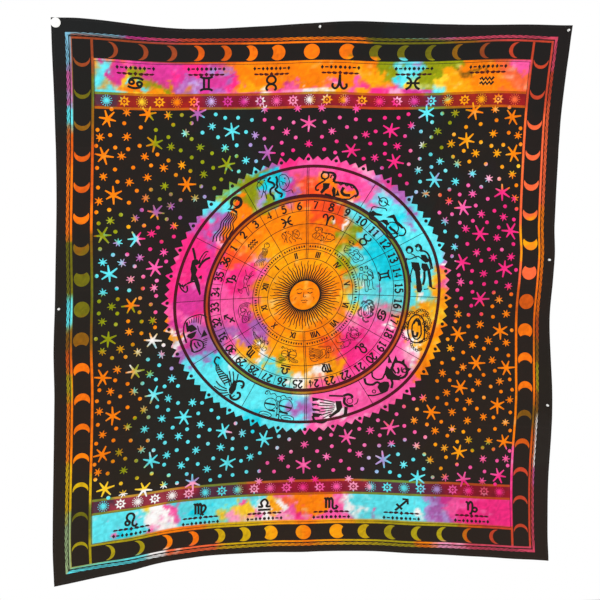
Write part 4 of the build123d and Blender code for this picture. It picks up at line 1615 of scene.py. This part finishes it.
def dyedCotton(name, ink=None, footInk=None, through=0.0, crease=0.10, tint=None):
    material, tree, shader = newMaterial(name, 0.86)
    shader.inputs["Sheen Weight"].default_value = weave["sheen"]
    shader.inputs["Sheen Roughness"].default_value = 0.5
    shader.inputs["Specular IOR Level"].default_value = weave["specular"]
    place = clothPlace(tree)
    color = addNode(tree, "ShaderNodeVertexColor", layer_name="dye").outputs["Color"]
    size = cloth["height"]
    slubX = noiseAt(tree, place, (size / weave["slubLength"], size, 1))
    slubY = noiseAt(tree, place, (size, size / weave["slubLength"], 1))
    slub = mathNode(tree, "ADD", slubX, slubY)
    lines = creaseLines(tree, place)
    if ink is not None:
        if footInk is not None:
            split = addNode(tree, "ShaderNodeSeparateXYZ")
            tree.links.new(place, split.inputs[0])
            low = mathNode(tree, "SUBTRACT", 1.0, split.outputs["Y"], clamp=True)
            ink = mixColor(tree, low, ink, footInk)
        mottle = mathNode(tree, "MULTIPLY", noiseAt(tree, place, (60, 60, 1), 4.0), through * 1.6)
        if tint is not None:
            color = mixColor(tree, 1.0, color, tint, "MULTIPLY")
        color = mixColor(tree, mathNode(tree, "ADD", mottle, through * 0.2), ink, color)
    shade = mathNode(tree, "MULTIPLY", slub, weave["slubShade"])
    shade = mathNode(tree, "ADD", shade, 1 - weave["slubShade"])
    shade = mathNode(tree, "ADD", shade, mathNode(tree, "MULTIPLY", lines, crease))
    gray = addNode(tree, "ShaderNodeCombineColor")
    for socket in gray.inputs[:3]:
        tree.links.new(shade, socket)
    color = mixColor(tree, 1.0, color, gray.outputs[0], "MULTIPLY")
    tree.links.new(color, shader.inputs["Base Color"])
    weaveBump(tree, shader, place, lines, 0.35)
    return material


def plainCotton(name, base, roughness, pitch):
    material, tree, shader = newMaterial(name, roughness)
    shader.inputs["Sheen Weight"].default_value = 0.15
    shader.inputs["Specular IOR Level"].default_value = 0.25
    place = clothPlace(tree)
    mottle = noiseAt(tree, place, (pitch, pitch, 1), 3.0)
    color = mixColor(tree, mottle, tuple(c * 0.7 for c in base), tuple(c * 1.5 for c in base))
    tree.links.new(color, shader.inputs["Base Color"])
    weaveBump(tree, shader, place, None, 0.4)
    return material


def mouldedPlastic():
    material, tree, shader = newMaterial("white_moulded_plastic", 0.34)
    shader.inputs["Coat Weight"].default_value = 0.12
    place = objectPlace(tree)
    color = mixColor(tree, noiseAt(tree, place, (220, 220, 220), 3.0), (0.78, 0.78, 0.75), (0.90, 0.90, 0.88))
    tree.links.new(color, shader.inputs["Base Color"])
    uneven = mathNode(tree, "MULTIPLY", noiseAt(tree, place, (900, 900, 900)), 0.25)
    tree.links.new(mathNode(tree, "ADD", uneven, 0.22), shader.inputs["Roughness"])
    bumpFrom(tree, shader, noiseAt(tree, place, (1500, 1500, 1500)), 0.15, 0.0001)
    return material


def drawnSteel(name, light, dark, roughness):
    material, tree, shader = newMaterial(name, roughness, 1.0)
    streaks = noiseAt(tree, objectPlace(tree), (6000, 300, 6000), 2.0)
    tree.links.new(mixColor(tree, streaks, dark, light), shader.inputs["Base Color"])
    uneven = mathNode(tree, "MULTIPLY", streaks, 0.22)
    tree.links.new(mathNode(tree, "ADD", uneven, roughness - 0.1), shader.inputs["Roughness"])
    return material


def give(pieces, material):
    for piece in pieces:
        piece.data.materials.append(material)


give([sheet], dyedCotton("tie_dyed_cotton"))
for name, values in inks.items():
    give([prints[name]], dyedCotton(*values))
give(hems.values(), plainCotton("black_hem_cotton", weave["hemBlack"], 0.88, 700))
give(stitches.values(), plainCotton("black_sewing_thread", weave["threadBlack"], 0.6, 2600))
plastic = mouldedPlastic()
needleSteel = drawnSteel("bright_needle_steel", (0.78, 0.78, 0.77), (0.55, 0.55, 0.56), 0.26)
nailSteel = drawnSteel("zinc_nail_steel", (0.62, 0.63, 0.64), (0.40, 0.41, 0.42), 0.42)


def repaint(node, material):
    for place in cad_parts[node].material_slots:
        place.material = material


for name in pinNames:
    repaint(f"pin_{name}_head", plastic)
    repaint(f"pin_{name}_needle", needleSteel)
repaint("nail_cap", plastic)
repaint("cap_nail", nailSteel)
print("materials made")

# what crosses the fold line stays unparented in world space, and the rest rides on one body
for piece in [sheet, *prints.values(), hems["left"], hems["right"], stitches["left"], stitches["right"]]:
    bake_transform(piece)
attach(hems["top"], "hung_cloth")
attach(stitches["top"], "hung_cloth")
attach(hems["bottom"], "lower_flap")
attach(stitches["bottom"], "lower_flap")
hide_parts("cloth_panel", "cloth_lower_flap")
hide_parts("hem_top")
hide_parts("hem_bottom")
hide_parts("stitch_top")
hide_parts("stitch_bottom")
for side in ("left", "right"):
    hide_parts(f"hem_{side}_upper", f"hem_{side}_lower")
    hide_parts(f"stitch_{side}_upper", f"stitch_{side}_lower")

stageValues = {
    "floorTop": -2.62,
    "floorFront": -4.2,
    "floorBack": 0.38,
    "floorHalfWidth": 4.0,
    "floorThickness": 0.04,
    "floorColor": (0.80, 0.80, 0.79, 1),
    "worldStrength": 0.72,
    "backdropStrength": 1.0,
    "keyPower": 66.0,
    "fillPower": 30.0,
}
front, back, thick = (stageValues[key] for key in ("floorFront", "floorBack", "floorThickness"))
bpy.ops.object.select_all(action="DESELECT")
bpy.ops.mesh.primitive_cube_add(size=1)
floor = bpy.context.object
floor.name = "studio_floor"
floor.scale = (2 * stageValues["floorHalfWidth"], back - front, thick)
floor.location = (0, (back + front) / 2, stageValues["floorTop"] - thick / 2)
bpy.ops.object.transform_apply(location=True, rotation=True, scale=True)
floorMaterial, _, floorShader = newMaterial("pale_floor", 0.7)
floorShader.inputs["Base Color"].default_value = stageValues["floorColor"]
give([floor], floorMaterial)

bpy.context.scene.view_settings.view_transform = "Standard"   # keeps the dyes as strong as they are
world = bpy.data.worlds.new("soft_studio")
bpy.context.scene.world = world
world.use_nodes = True
worldTree = world.node_tree
sky = worldTree.nodes["Background"]
backdrop = addNode(worldTree, "ShaderNodeBackground")         # what the camera sees behind everything
for shader, key in ((sky, "worldStrength"), (backdrop, "backdropStrength")):
    shader.inputs["Color"].default_value = (1, 1, 1, 1)
    shader.inputs["Strength"].default_value = stageValues[key]
choose = addNode(worldTree, "ShaderNodeMixShader")
rays = addNode(worldTree, "ShaderNodeLightPath")
worldTree.links.new(rays.outputs["Is Camera Ray"], choose.inputs[0])
worldTree.links.new(sky.outputs[0], choose.inputs[1])
worldTree.links.new(backdrop.outputs[0], choose.inputs[2])
worldTree.links.new(choose.outputs[0], worldTree.nodes["World Output"].inputs[0])


def areaLight(name, place, aim, size, power):
    light = bpy.data.lights.new(name, "AREA")
    light.energy = power
    light.size = size
    holder = bpy.data.objects.new(name, light)
    bpy.context.scene.collection.objects.link(holder)
    holder.location = place
    x, y, z = Vector(aim) - Vector(place)
    holder.rotation_euler = (math.atan2(math.hypot(x, y), -z), 0, math.atan2(-x, y))


areaLight("key_softbox", (-2.6, -2.6, 1.1), (0, 0, -1.0), 2.2, stageValues["keyPower"])
areaLight("fill_softbox", (2.4, -3.0, -0.2), (0, 0, -1.2), 2.4, stageValues["fillPower"])

view = {
    "place": (-0.3425, -3.0, -0.888),
    "down": 4.0,
    "right": 5.0,
    "fieldOfView": 44.44,
}
camera = bpy.data.cameras.new("front_camera")
camera.angle = math.radians(view["fieldOfView"])
cameraHolder = bpy.data.objects.new("front_camera", camera)
bpy.context.scene.collection.objects.link(cameraHolder)
cameraHolder.location = view["place"]
cameraHolder.rotation_euler = (math.radians(90 - view["down"]), 0, math.radians(-view["right"]))
bpy.context.scene.camera = cameraHolder
print("stage, light and camera set")
